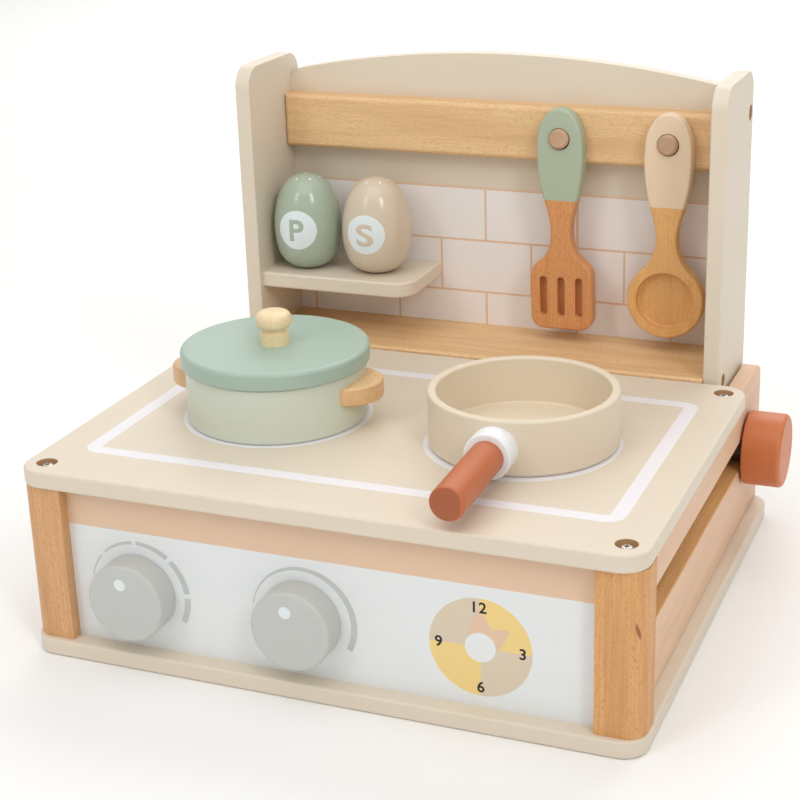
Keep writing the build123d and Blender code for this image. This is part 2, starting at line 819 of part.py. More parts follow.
def shaker(diameter, from_side, from_back):
    """Egg whose outline is three arcs that flow into each other: foot, side and crown."""
    side_x = diameter / 2 - shaker_side_r
    rise = shaker_h - shaker_belly_h
    crown_r = (side_x ** 2 + rise ** 2 - shaker_side_r ** 2) / (2 * (rise - shaker_side_r))
    crown_z = shaker_h - crown_r
    crown_angle = math.atan2(crown_z - shaker_belly_h, -side_x)
    low_reach = shaker_side_r - shaker_low_r
    low_angle = math.asin((shaker_low_r - shaker_belly_h) / low_reach)
    low_x = side_x + low_reach * math.cos(low_angle)
    foot = (low_x, 0)
    low_middle = on_circle(low_x, shaker_low_r, shaker_low_r, (low_angle - math.pi / 2) / 2)
    low_join = on_circle(low_x, shaker_low_r, shaker_low_r, low_angle)
    crown_join = on_circle(0, crown_z, crown_r, crown_angle)
    crown_middle = on_circle(0, crown_z, crown_r, (crown_angle + math.pi / 2) / 2)
    top = (0, shaker_h)
    edges = [Line((0, 0), foot), ThreePointArc(foot, low_middle, low_join)]
    edges.append(ThreePointArc(low_join, (diameter / 2, shaker_belly_h), crown_join))
    edges.append(ThreePointArc(crown_join, crown_middle, top))
    edges.append(Line(top, (0, 0)))
    return turned(edges, from_side - panel_in_x, back_board_y - from_back, shelf_z)


save(base_board(), "base_board")
save(base_screws(), "base_screws")
save(cooktop(), "cooktop")
save(cooktop_screws(), "cooktop_screws")
save(front_panel(), "front_panel")
save(panel_dowels(), "panel_dowels")
save_pair(front_post, "front_post")
save_pair(side_board, "side_board")

for side_name, dial_x in (("left", dial_left_x), ("right", dial_right_x)):
    save(dial_knob(dial_x), f"dial_knob_{side_name}")
    save(dial_axle(dial_x), f"dial_axle_{side_name}")
    save(dial_washer(dial_x), f"dial_washer_{side_name}")

save_pair(clamp_spacer, "clamp_spacer")
save_pair(clamp_bush, "clamp_bush")
save_pair(clamp_washer, "clamp_washer")
save_pair(clamp_bolt, "clamp_bolt")
save_pair(clamp_insert, "clamp_insert")
save_pair(clamp_knob, "clamp_knob")

save_pair(backsplash_side, "backsplash_side")
save(backsplash_screws(), "backsplash_screws")
save(back_board(), "back_board")
save(hanging_rail(), "hanging_rail")
save(rear_screws(rail_screw_places), "rail_screws")
save(hanging_peg(spatula_x), "hanging_peg_left")
save(hanging_peg(spoon_x), "hanging_peg_right")
save(ledge_board(), "ledge_board")
save(shelf(), "shelf")
save(rear_screws(shelf_screw_places), "shelf_screws")

save(spatula(), "spatula")
save(spoon(), "spoon")
save(shaker(pepper_d, pepper_from_side, pepper_from_back), "pepper_shaker")
save(shaker(salt_d, salt_from_side, salt_from_back), "salt_shaker")

save(pot_body(), "pot_body")
save(pot_ear_dowels(), "pot_handle_dowels")
save(pot_handle(-1), "pot_handle_left")
save(pot_handle(1), "pot_handle_right")
save(pot_lid(), "pot_lid")
save(lid_tenon(), "lid_tenon")
save(lid_knob(), "lid_knob")

save(pan_frame * pan_body(), "pan_body")
save(pan_frame * pan_tenon(), "pan_tenon")
save(pan_frame * pan_collar(), "pan_collar")
save(pan_frame * pan_handle(), "pan_handle")
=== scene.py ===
import math

import bpy
from mathutils import Matrix, Vector


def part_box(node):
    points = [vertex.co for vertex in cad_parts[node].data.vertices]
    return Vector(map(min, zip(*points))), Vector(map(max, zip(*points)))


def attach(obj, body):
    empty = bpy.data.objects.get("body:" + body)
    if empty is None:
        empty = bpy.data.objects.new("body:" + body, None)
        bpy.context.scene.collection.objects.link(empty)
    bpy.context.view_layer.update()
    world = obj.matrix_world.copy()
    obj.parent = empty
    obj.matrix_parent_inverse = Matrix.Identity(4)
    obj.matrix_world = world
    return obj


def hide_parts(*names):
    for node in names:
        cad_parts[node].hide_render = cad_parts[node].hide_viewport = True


bl_info = {
    "name": "Tabletop play kitchen",
    "version": (1, 0, 0),
    "blender": (4, 5, 0),
    "location": "3D View > Sidebar > Play Kitchen",
    "description": "Paint, wood, prints, screws and studio for a wooden tabletop play kitchen",
    "category": "Object",
}

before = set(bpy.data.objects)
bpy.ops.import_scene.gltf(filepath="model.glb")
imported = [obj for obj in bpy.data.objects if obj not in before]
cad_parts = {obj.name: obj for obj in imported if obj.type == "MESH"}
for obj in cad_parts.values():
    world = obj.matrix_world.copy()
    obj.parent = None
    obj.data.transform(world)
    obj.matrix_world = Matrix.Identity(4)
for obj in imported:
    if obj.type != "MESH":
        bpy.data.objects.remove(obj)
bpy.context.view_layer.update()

MM = 0.001
# Depth in millimetres up to which a print reaches below its face
SKIN = 0.3
# Depth in millimetres of the drilled recesses, with a little over
RECESS_DEPTH = 3.8
# Ends of the dashes round the left dial and of the arc round the right one, in degrees
LEFT_DASHES = ((140.1, 168.3), (96.8, 134.5), (52.8, 91.9), (7.0, 47.5), (-28.7, 1.5))
RIGHT_DASHES = ((-28.6, 171.4),)
# Outlines of the two printed clock hands from the clock's centre, in millimetres
CLOCK_HANDS = (
    ((0.0, 0.0), (6.4, 11.5), (-0.7, 23.1), (-7.3, 6.4)),
    ((0.0, 0.0), (10.7, 0.0), (15.8, 10.9), (14.5, 12.9), (6.4, 11.5)),
)
# Ink of the clock's numbers: its thickness, and the space from figure to figure
FIGURE_THICKNESS = 0.1 * MM
FIGURE_SPACING = 1.1
# Height of a capital letter in Blender's font, as a share of the font's size
CAP_HEIGHT = 0.7
# How far letters are thickened, as a share of their height
LETTER_BOLDNESS = 0.03
# Lean of the spatula on its peg
SPATULA_TILT = math.radians(0.8)
# How much wider each letter is than in Blender's font
LETTER_WIDTH = {"P": 1.05, "S": 1.35}
# Ring of dots on the top of a shaker: their number, and the turn of the ring
CROWN_DOTS = 6
CROWN_TURN = math.radians(14.0)
# Turn of each label about the shaker's axis
LABEL_TURN = {"pepper_shaker": math.radians(5.0), "salt_shaker": math.radians(2.0)}
# Dark streak in the right post: its middle and half sizes in millimetres, and its lean
STREAK_PLACE = (175.8, -154.5, 71.5)
STREAK_REACH = (1.1, 4.0, 6.0)
STREAK_LEAN = math.radians(14.0)
# Margin in millimetres round the slots of the side boards, for their broken edges
SLOT_MARGIN = 2.0
# Screws of one row stand further apart than this, in millimetres
SCREW_SPACING = 40
# Figure of planed beech: width and run of its bands, its fibres and its short flecks, in
# millimetres. The flecks are a little coarser than real ones, so that they show in the render.
BEECH_BANDS = (9.0, 160.0)
BEECH_FIBRES = (0.8, 30.0)
BEECH_FLECKS = (0.8, 3.3)
# Paint, in millimetres: width and run of the fibres below it, and size of its clouds and peel
PAINTED_FIBRES = (1.1, 26.0)
PAINT_CLOUD = 45
PAINT_PEEL = 1.6
# Colour of the fibres that show through paint, as a share of the paint's colour
FIBRE_TONE = 0.72
# Marks in metal, nylon and paper, in millimetres
ZINC_MARKS = 0.5
BRASS_MARKS = (6.0, 0.3)
NYLON_PITS = 0.7
PAPER_GRAIN = 3
# Smoothness of round pieces: sides of a screw, steps of its head's rounding, sides of a slot's
# ends and steps of the backdrop's bend
SCREW_SIDES = 40
HEAD_STEPS = 6
SLOT_SIDES = 30
BEND_STEPS = 24
# Edges of a screw flatter than this are shaded smooth
SMOOTH_ANGLE = math.radians(35)
# How far a screw tapers to its point, and the cross recess to its bottom
POINT_TAPER = (0.35, 0.35, 1.0)
CROSS_TAPER = (0.35, 0.8, 1.0)
# Woods: key, label, where it is, colour of the early wood, colour of the late wood and flecks
WOODS = (
    ("beech", "Beech", "right post", "E0A86C", "A46A36"),
    ("pale_beech", "Pale beech", "left post", "DFAC79", "A36D3D"),
    ("rail", "Rail", "rail and ledge", "EAC492", "B5834F"),
    # The side boards' pale pink colours are partly the wood's own tint and partly painted sheen:
    # the whitish gloss of the lacquer at a grazing angle
    ("side", "Side board", "side boards", "E8C4A4", "CFA280"),
    ("spatula", "Spatula", "spatula", "DC995F", "A0623A"),
    ("spoon", "Spoon", "spoon", "E9B472", "BA8148"),
    ("slot", "Slot wall", "sawn walls of the slots", "F2BC7C", "BA7E46"),
    ("maple", "Maple", "lid knob", "F2DDB4", "DDBE8A"),
    ("peg", "Peg", "dowels and pegs", "CDA98A", "94714F"),
    ("raw", "Raw wood", "drilled recesses", "C9A076", "8E6643"),
)
# Studio: what the lights face, and each light's name, spot, target, width, height and power
OBJECT_CENTRE = (0.0, 0.0, 0.12)
LIGHTS = (
    ("Left_light", (-0.95, -2.0, 1.65), OBJECT_CENTRE, 0.6, 0.8, "left_power"),
    ("Right_light", (1.7, -1.5, 1.8), OBJECT_CENTRE, 0.5, 0.9, "right_power"),
    ("Top_light", (0.0, -0.35, 1.3), (0.0, 0.1, 0.15), 1.2, 1.2, "top_power"),
    ("Backdrop_light", (-0.3, 2.3, 1.8), (-0.4, 1.4, 0.0), 3.2, 2.5, "back_power"),
)
# Backdrop: sizes of the floor and the wall, and the radius of the bend between them
FLOOR_SIZE = 12
WALL_HEIGHT = 6
BEND_RADIUS = 2.5
# The photograph's camera, recovered from the straight edges of the boards
CAMERA_PLACE = (0.3652, -0.89495, 0.4837)
CAMERA_LOOK = (-0.3535, 0.8693, -0.3455)
CAMERA_UP = (-0.1041, 0.3305, 0.9381)
CAMERA_SHIFT = (-0.0274, -0.0204)


def linear(code):
    """sRGB hex value as the linear colour that Blender works in."""
    channels = [int(code[i:i + 2], 16) / 255 for i in (0, 2, 4)]
    return [c / 12.92 if c <= 0.04045 else ((c + 0.055) / 1.055) ** 2.4 for c in channels] + [1.0]


def colour(name, description, code):
    """Colour property with an sRGB hex default."""
    return bpy.props.FloatVectorProperty(name=name, description=description, subtype="COLOR",
                                         size=4, min=0.0, max=1.0, default=linear(code))


def length(name, description, size):
    """Length property with its default in millimetres."""
    return bpy.props.FloatProperty(name=name, description=description, subtype="DISTANCE",
                                   unit="LENGTH", min=0.0, default=size * MM)


def power(name, description, watts):
    """Power property of a light."""
    return bpy.props.FloatProperty(name=name, description=description, subtype="POWER",
                                   unit="POWER", min=0.0, default=watts)


class KitchenPaints(bpy.types.PropertyGroup):
    """Satin paint colours."""

    beige: colour("Beige", "Cooktop, base, backsplash and shelf", "DED1BD")
    white: colour("White", "Front panel", "E6E9E9")
    peach: colour("Peach", "Band on the front panel, grout lines and clock hands", "E3C3A6")
    grey: colour("Grey", "Dials", "C2C4BF")
    arc_grey: colour("Arc grey", "Arcs printed round the dials", "C3C7C5")
    sage: colour("Sage", "Pepper shaker", "A7B5A2")
    lid_green: colour("Lid green", "Pot lid", "A5BAAB")
    grip_green: colour("Grip green", "Spatula grip", "ABB79F")
    grip_beige: colour("Grip beige", "Spoon grip", "E7CEB0")
    pot_green: colour("Pot green", "Pot body", "D0D6C6")
    salt_beige: colour("Salt beige", "Salt shaker", "D3C3AC")
    pan_beige: colour("Pan beige", "Pan body", "E1D2BA")
    terracotta: colour("Terracotta", "Pan handle", "BE6639")
    # Painted shade: the darker colour of the pan handle's end face stands in for the shade on that
    # face
    shaded_end_terracotta: colour("Shaded end terracotta", "End of the pan handle", "A2562F")
    light_terracotta: colour("Light terracotta", "Clamp knobs", "CC7443")
    collar_white: colour("Collar white", "Collar of the pan handle", "EEF0F0")
    print_white: colour("Print white", "Lines on the cooktop", "E9E6E8")
    label_white: colour("Label white", "Labels and dots of shakers, marks of dials", "E1E9EA")
    tile: colour("Tile", "Printed tiles on the back board", "EFE9E6")
    clock_yellow: colour("Clock yellow", "Two quarters of the clock", "EFD188")
    clock_beige: colour("Clock beige", "Two quarters of the clock", "DACAB2")
    figures: colour("Figures", "Numbers of the clock", "151311")


class KitchenWoods(bpy.types.PropertyGroup):
    """Colours of the bare and lacquered wood."""

    streak: colour("Mineral streak", "Dark streak in the right post", "8F4B2A")


for key, label, place, early, late in WOODS:
    KitchenWoods.__annotations__.update({
        f"{key}_light": colour(f"{label}, light", f"Early wood of the {place}", early),
        f"{key}_dark": colour(f"{label}, dark", f"Late wood and flecks of the {place}", late),
    })


class KitchenPrints(bpy.types.PropertyGroup):
    """Sizes of what is printed on the boards."""

    border_front: length("Border inset, front", "Cooktop border from front and rear edge", 35.6)
    border_side: length("Border inset, side", "Cooktop border from the side edge", 21.4)
    border_width: length("Border width", "Width of the cooktop border", 8.5)
    border_corner: length("Border corner", "Corner radius of the cooktop border", 6.0)
    ring_radius: length("Hob ring radius", "Outer radius of the hob rings", 56.4)
    ring_width: length("Hob ring width", "Width of the hob rings", 8.0)
    band_height: length("Band height", "Lower edge of the peach band", 80.4)
    tile_top: length("Tile top", "Upper edge of the printed tiles", 209.5)
    tile_length: length("Tile length", "Pitch of the tiles along the board", 63.45)
    tile_height: length("Tile height", "Pitch of the tile rows", 35.7)
    tile_start: length("Tile start", "Shift of the tile pattern to the right", 19.4)
    grout_width: length("Grout width", "Width of the lines between tiles", 1.5)
    arc_radius: length("Arc radius", "Outer radius of the arcs round the dials", 31.25)
    arc_inner_radius: length("Arc inner radius", "Inner radius of the arcs round the dials", 29.0)
    arc_shift: length("Arc shift", "Distance between an arc's two centres: a crescent", 1.5)
    dot_radius: length("Dial dot radius", "White mark on a dial", 3.5)
    dot_rise: length("Dial dot rise", "Height of the mark over the dial's centre", 11.5)
    dot_left: length("Dial dot shift", "Distance of the mark to the left of the dial's centre", 2.0)
    clock_x: length("Clock place", "Centre of the clock from the middle of the panel", 90.8)
    clock_height: length("Clock height", "Centre of the clock above the table", 44.8)
    clock_radius: length("Clock radius", "Radius of the clock", 28.5)
    clock_hub: length("Clock hub", "Radius of the white centre of the clock", 8.5)
    figure_height: length("Figure height", "Height of the clock's numbers", 6.1)
    figure_circle: length("Figure circle", "Radius on which the numbers stand", 23.2)
    label_radius: length("Label radius", "White label of a shaker", 13.0)
    label_height: length("Label place", "Centre of a label above the shelf", 29.8)
    letter_height: length("Letter height", "Letter on a shaker", 13.9)
    letter_relief: length("Letter relief", "How far a letter stands out of its label", 0.12)
    crown_dot: length("Crown dot", "Radius of a dot on top of a shaker", 0.8)
    crown_ring: length("Crown ring", "Circle on which six of the dots stand", 9.0)
    paint_line: length("Paint line", "Distance of the painted end of a utensil below its peg", 40.0)
    recess_radius: length("Recess radius", "Drilled recess of a screw, with a little over", 6.1)
    hole_drop: length("Hole place", "Centre of the spatula's hole below its top", 19.1)
    slot_length: length("Slot length", "Length of a slot in the spatula's blade", 26.46)
    slot_width: length("Slot width", "Width of a slot in the spatula's blade", 5.06)
    slot_pitch: length("Slot pitch", "Distance from slot to slot", 11.9)
    slot_drop: length("Slot place", "Centre of the slots below the spatula's hole", 103.5)
    slot_depth: length("Slot depth", "Depth of the slots to their wooden floor", 5.0)
    hang_hole: length("Hang hole radius", "Hole of a utensil, with a little over", 7.1)


class KitchenScrews(bpy.types.PropertyGroup):
    """Sizes of the cross-head screws."""

    head_radius: length("Head radius", "Radius of the pan head", 3.5)
    head_height: length("Head height", "Height of the pan head", 2.4)
    head_round: length("Head rounding", "Rounding of the head's upper edge", 1.5)
    shank_radius: length("Shank radius", "Radius of the shank", 1.75)
    cross_length: length("Cross length", "Length of the cross recess over its arms", 4.2)
    cross_width: length("Cross width", "Width of an arm of the cross recess", 0.95)
    cross_depth: length("Cross depth", "Depth of the cross recess", 1.5)


class KitchenStudio(bpy.types.PropertyGroup):
    """Camera and light."""

    lens: bpy.props.FloatProperty(name="Lens", description="Focal length on a 36 mm sensor",
                                  min=1.0, default=77.72, subtype="DISTANCE_CAMERA", unit="CAMERA")
    left_power: power("Left light", "Soft light from the upper left", 7.4)
    right_power: power("Right light", "Soft light from the upper right", 14.5)
    top_power: power("Top light", "Soft light from above", 5.4)
    back_power: power("Backdrop light", "Light that whitens the backdrop", 44.0)
    sky: bpy.props.FloatProperty(name="Room light", description="Strength of the even light",
                                 min=0.0, default=0.54)
    floor: colour("Floor", "Plain studio floor and backdrop", "F6F5F3")


def add(tree, kind, inputs=None, **settings):
    """Add a node with its settings, set or link its inputs, and give back its outputs."""
    node = tree.nodes.new(kind)
    for key, value in settings.items():
        setattr(node, key, value)
    for key, value in (inputs or {}).items():
        if isinstance(value, bpy.types.NodeSocket):
            tree.links.new(value, node.inputs[key])
        else:
            node.inputs[key].default_value = value
    return node.outputs


def new_material(name):
    """Empty node material, and the point on the object in millimetres."""
    material = bpy.data.materials.new(name)
    material.use_nodes = True
    tree = material.node_tree
    tree.nodes.clear()
    place = add(tree, "ShaderNodeTexCoord")["Object"]
    scaling = {0: place, "Scale": 1 / MM}
    point = add(tree, "ShaderNodeVectorMath", scaling, operation="SCALE")["Vector"]
    return material, tree, point


def finish_surface(tree, base, gloss, height, depth, settings):
    """Close a material: its colour, its gloss and a fine relief of this depth in millimetres.

    The gloss is a pattern with the roughness at its low end and at its high end.
    """
    pattern, smooth, rough = gloss
    change = {"Value": pattern, "To Min": smooth, "To Max": rough}
    roughness = add(tree, "ShaderNodeMapRange", change)["Result"]
    bumps = {"Height": height, "Distance": depth * MM, "Strength": 1.0}
    relief = add(tree, "ShaderNodeBump", bumps)
    inputs = {"Base Color": base, "Roughness": roughness, "Normal": relief["Normal"], **settings}
    surface = add(tree, "ShaderNodeBsdfPrincipled", inputs)
    add(tree, "ShaderNodeOutputMaterial", {"Surface": surface["BSDF"]})


def grain_point(tree, point, axis, width, run):
    """Point measured in streaks that are this wide and long, along the grain axis."""
    stretch = [1 / width] * 3
    stretch["XYZ".index(axis)] = 1 / run
    return add(tree, "ShaderNodeMapping", {"Vector": point, "Scale": stretch})["Vector"]


def fibres(tree, point, axis, width, run):
    """Noise whose streaks are this wide and long, along the grain axis."""
    grain = grain_point(tree, point, axis, width, run)
    return add(tree, "ShaderNodeTexNoise", {"Vector": grain, "Scale": 1.0, "Detail": 3.0})["Fac"]


def flat_point(tree, point, first, second):
    """Point seen square on: two of its axes as X and Y."""
    split = add(tree, "ShaderNodeSeparateXYZ", {"Vector": point})
    return add(tree, "ShaderNodeCombineXYZ", {"X": split[first], "Y": split[second]})["Vector"]


def disc(tree, flat, x, y, radius):
    """Mask that is 1 inside a circle."""
    ends = {0: flat, 1: (x, y, 0.0)}
    far = add(tree, "ShaderNodeVectorMath", ends, operation="DISTANCE")["Value"]
    return add(tree, "ShaderNodeMath", {0: far, 1: radius}, operation="LESS_THAN")[0]


def both(tree, *masks):
    """Mask that is 1 where all of these are."""
    joined = masks[0]
    for mask in masks[1:]:
        joined = add(tree, "ShaderNodeMath", {0: joined, 1: mask}, operation="MULTIPLY")[0]
    return joined


def either(tree, *masks):
    """Mask that is 1 where any of these is."""
    joined = masks[0]
    for mask in masks[1:]:
        joined = add(tree, "ShaderNodeMath", {0: joined, 1: mask}, operation="MAXIMUM")[0]
    return joined


def ring(tree, flat, x, y, radius, width):
    """Mask that is 1 inside a ring of this outer radius."""
    ends = {0: flat, 1: (x, y, 0.0)}
    far = add(tree, "ShaderNodeVectorMath", ends, operation="DISTANCE")["Value"]
    band = {0: far, 1: radius - width / 2, 2: width / 2}
    return add(tree, "ShaderNodeMath", band, operation="COMPARE")[0]


def axis_mask(tree, point, axis, limit, above=True):
    """Mask that is 1 where this axis is above or below the limit."""
    value = add(tree, "ShaderNodeSeparateXYZ", {"Vector": point})[axis]
    test = "GREATER_THAN" if above else "LESS_THAN"
    return add(tree, "ShaderNodeMath", {0: value, 1: limit}, operation=test)[0]


def band_mask(tree, point, axis, centre, half):
    """Mask that is 1 where this axis is within this distance of the centre."""
    value = add(tree, "ShaderNodeSeparateXYZ", {"Vector": point})[axis]
    return add(tree, "ShaderNodeMath", {0: value, 1: centre, 2: half}, operation="COMPARE")[0]


def front_mask(tree, point, name):
    """Mask of the front face of a CAD node."""
    return axis_mask(tree, point, "Y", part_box(name)[0][1] / MM + SKIN, above=False)


def polygon(tree, flat, corners):
    """Mask of a convex outline whose corners are given anticlockwise."""
    masks = []
    for a, b in zip(corners, corners[1:] + corners[:1]):
        inward = (a[1] - b[1], b[0] - a[0], 0.0)
        across = {0: flat, 1: inward}
        reach = add(tree, "ShaderNodeVectorMath", across, operation="DOT_PRODUCT")["Value"]
        limit = inward[0] * a[0] + inward[1] * a[1]
        masks.append(add(tree, "ShaderNodeMath", {0: reach, 1: limit}, operation="GREATER_THAN")[0])
    return both(tree, *masks)


def lay_on(tree, point, base, prints):
    """Base colour with each print's layers over it."""
    for make_layers in prints:
        for mask, ink in make_layers(tree, point):
            base = add(tree, "ShaderNodeMix", {0: mask, 6: base, 7: ink}, data_type="RGBA")[2]
    return base


def wood_colour(tree, point, axis, wood, flecks=0.55):
    """Beech figure: soft bands, fine fibres and short dark flecks. Gives colour and relief."""
    woods = bpy.context.scene.kitchen_woods
    light, dark = getattr(woods, f"{wood}_light"), getattr(woods, f"{wood}_dark")
    bands = fibres(tree, point, axis, *BEECH_BANDS)
    fine = fibres(tree, point, axis, *BEECH_FIBRES)
    cells = grain_point(tree, point, axis, *BEECH_FLECKS)
    near = add(tree, "ShaderNodeTexVoronoi", {"Vector": cells, "Scale": 1.0})["Distance"]
    rim = {"Value": near, "From Min": 0.15, "From Max": 0.45, "To Min": flecks, "To Max": 0.0}
    fleck = add(tree, "ShaderNodeMapRange", rim, interpolation_type="SMOOTHSTEP")["Result"]
    wide = {"Value": bands, "From Min": 0.35, "From Max": 0.7, "To Max": 0.26}
    figure = add(tree, "ShaderNodeMapRange", wide, interpolation_type="SMOOTHSTEP")["Result"]
    thin = {"Value": fine, "From Min": 0.3, "From Max": 0.75, "To Max": 0.26}
    lines = add(tree, "ShaderNodeMapRange", thin, interpolation_type="SMOOTHSTEP")["Result"]
    figure = add(tree, "ShaderNodeMath", {0: figure, 1: lines}, operation="ADD")[0]
    figure = add(tree, "ShaderNodeMath", {0: figure, 1: fleck}, operation="MAXIMUM")[0]
    base = add(tree, "ShaderNodeMix", {0: figure, 6: light, 7: dark}, data_type="RGBA")[2]
    relief = add(tree, "ShaderNodeMath", {0: fine, 1: fleck}, operation="SUBTRACT")[0]
    return base, relief


def lacquered_wood(name, axis, wood, roughness=0.46, flecks=0.55, prints=()):
    """Sanded wood under clear satin lacquer: the grain shows, with a soft wide highlight."""
    material, tree, point = new_material(name)
    base, relief = wood_colour(tree, point, axis, wood, flecks)
    base = lay_on(tree, point, base, prints)
    gloss = (relief, roughness + 0.08, roughness - 0.05)
    finish_surface(tree, base, gloss, relief, 0.03, {"IOR": 1.5})
    return material


def satin_paint(name, tone, axis="X", roughness=0.42, prints=()):
    """Sprayed satin paint on sanded wood: even colour, faint fibres below, fine orange peel."""
    material, tree, point = new_material(name)
    broad = {"Vector": point, "Scale": 1 / PAINT_CLOUD, "Detail": 2.0}
    cloud = add(tree, "ShaderNodeTexNoise", broad)["Fac"]
    under = fibres(tree, point, axis, *PAINTED_FIBRES)
    both_noises = add(tree, "ShaderNodeMath", {0: cloud, 1: under}, operation="MULTIPLY")[0]
    faint = {"Value": both_noises, "From Min": 0.15, "From Max": 0.45, "To Max": 0.09}
    shade = add(tree, "ShaderNodeMapRange", faint, interpolation_type="SMOOTHSTEP")["Result"]
    deep = [c * FIBRE_TONE for c in tone[:3]] + [1.0]
    base = add(tree, "ShaderNodeMix", {0: shade, 6: tone, 7: deep}, data_type="RGBA")[2]
    base = lay_on(tree, point, base, prints)
    drops = {"Vector": point, "Scale": 1 / PAINT_PEEL, "Detail": 1.0}
    peel = add(tree, "ShaderNodeTexNoise", drops)["Fac"]
    relief = add(tree, "ShaderNodeMath", {0: peel, 1: 0.5, 2: under}, operation="MULTIPLY_ADD")[0]
    gloss = (cloud, roughness - 0.06, roughness + 0.08)
    finish_surface(tree, base, gloss, relief, 0.012, {"IOR": 1.5})
    return material


def pair(name):
    """Names of the left and the right CAD node of this kind."""
    return [f"{name}_left", f"{name}_right"]


def dress(names, material):
    """Give CAD nodes a material."""
    for name in names:
        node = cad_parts[name]
        node.data.materials.clear()
        node.data.materials.append(material)


def middle(name):
    """Centre of a CAD node's box, in millimetres."""
    low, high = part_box(name)
    return [(a + b) / 2 / MM for a, b in zip(low, high)]


def deselect():
    """Leave edit mode and select nothing."""
    if bpy.context.mode != "OBJECT":
        bpy.ops.object.mode_set(mode="OBJECT")
    bpy.ops.object.select_all(action="DESELECT")


def pick(obj):
    """Make this the only selected and the active object."""
    deselect()
    obj.select_set(True)
    bpy.context.view_layer.objects.active = obj


def select_parts(obj, kind, test):
    """In edit mode, select just the vertices, edges or faces that pass the test."""
    parts = {"VERT": "vertices", "EDGE": "edges", "FACE": "polygons"}[kind]
    bpy.ops.mesh.select_mode(type=kind)
    bpy.ops.mesh.select_all(action="DESELECT")
    bpy.ops.object.mode_set(mode="OBJECT")
    for part in getattr(obj.data, parts):
        part.select = test(part)
    bpy.ops.object.mode_set(mode="EDIT")


def cut(piece, tool, operation):
    """Cut the piece with a tool object by this boolean operation, and remove the tool."""
    pick(piece)
    step = piece.modifiers.new("Cut", "BOOLEAN")
    step.operation = operation
    step.object = tool
    bpy.ops.object.modifier_apply(modifier=step.name)
    bpy.data.objects.remove(tool)


def join(pieces):
    """All of these as one object, with their places in its mesh."""
    pick(pieces[0])
    for piece in pieces:
        piece.select_set(True)
    bpy.ops.object.transform_apply(location=True, rotation=True, scale=True)
    bpy.ops.object.join()
    return bpy.context.object


def settle(obj, name, body, material):
    """Apply the place, name the piece, let it ride on its body and give it its finish."""
    pick(obj)
    bpy.ops.object.transform_apply(location=True, rotation=True, scale=True)
    obj.name = name
    obj.data.name = name
    obj.data.materials.clear()
    obj.data.materials.append(material)
    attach(obj, body)


def turn_to(direction):
    """Rotation that turns +Z to this direction."""
    return Vector(direction).to_track_quat("Z", "Y").to_matrix().to_4x4()


# Prints and drilled recesses


def recess_prints(nodes, first, second, depth, face, inward):
    """Bare wood in a board's drilled recesses: circles round the screws, just below its face."""
    radius = bpy.context.scene.kitchen_prints.recess_radius / MM
    places = [dict(zip("XYZ", place)) for name in nodes for place, _ in screw_boxes(name)]

    def make_layers(tree, point):
        flat = flat_point(tree, point, first, second)
        discs = [disc(tree, flat, place[first], place[second], radius) for place in places]
        half = (RECESS_DEPTH - SKIN) / 2
        sunk = band_mask(tree, point, depth, face / MM + inward * (SKIN + half), half)
        raw = wood_colour(tree, point, first, "raw")[0]
        return [(both(tree, either(tree, *discs), sunk), raw)]

    return make_layers


def screw_boxes(name):
    """Centre and size in millimetres of each screw of a CAD node: its loose parts, by place."""
    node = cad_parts[name]
    groups = []
    for corner in (node.matrix_world @ v.co / MM for v in node.data.vertices):
        for group in groups:
            if (group[0] - corner).length < SCREW_SPACING:
                group.append(corner)
                break
        else:
            groups.append([corner])
    ends = [[(min(side), max(side)) for side in zip(*group)] for group in groups]
    return [([(a + b) / 2 for a, b in box], [b - a for a, b in box]) for box in ends]


def cooktop_prints(tree, point):
    """White border with rounded corners, and a white ring under the pot and one under the pan."""
    prints = bpy.context.scene.kitchen_prints
    white = bpy.context.scene.kitchen_paints.print_white
    low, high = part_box("cooktop")
    half_line = prints.border_width / 2 / MM
    corner = prints.border_corner / MM
    half_x = (high[0] - prints.border_side) / MM - half_line
    half_y = ((high[1] - low[1]) / 2 - prints.border_front) / MM - half_line
    centre_y = (low[1] + high[1]) / 2 / MM
    flat = flat_point(tree, point, "X", "Y")
    shift = {0: flat, 1: (0, centre_y, 0)}
    moved = add(tree, "ShaderNodeVectorMath", shift, operation="SUBTRACT")[0]
    folded = add(tree, "ShaderNodeVectorMath", {0: moved}, operation="ABSOLUTE")[0]
    inset = (half_x - corner, half_y - corner, 0)
    past = add(tree, "ShaderNodeVectorMath", {0: folded, 1: inset}, operation="SUBTRACT")[0]
    corner_part = add(tree, "ShaderNodeVectorMath", {0: past, 1: (0, 0, 0)}, operation="MAXIMUM")[0]
    far = add(tree, "ShaderNodeVectorMath", {0: corner_part}, operation="LENGTH")["Value"]
    sides = add(tree, "ShaderNodeSeparateXYZ", {"Vector": past})
    deeper = add(tree, "ShaderNodeMath", {0: sides["X"], 1: sides["Y"]}, operation="MAXIMUM")[0]
    inner = add(tree, "ShaderNodeMath", {0: deeper, 1: 0.0}, operation="MINIMUM")[0]
    reach = add(tree, "ShaderNodeMath", {0: far, 1: inner}, operation="ADD")[0]
    band = {0: reach, 1: corner, 2: half_line}
    masks = [add(tree, "ShaderNodeMath", band, operation="COMPARE")[0]]
    for name in ("pot_body", "pan_body"):
        x = middle(name)[0]
        masks.append(ring(tree, flat, x, centre_y, prints.ring_radius / MM, prints.ring_width / MM))
    top = axis_mask(tree, point, "Z", high[2] / MM - SKIN)
    return [(both(tree, top, either(tree, *masks)), white)]


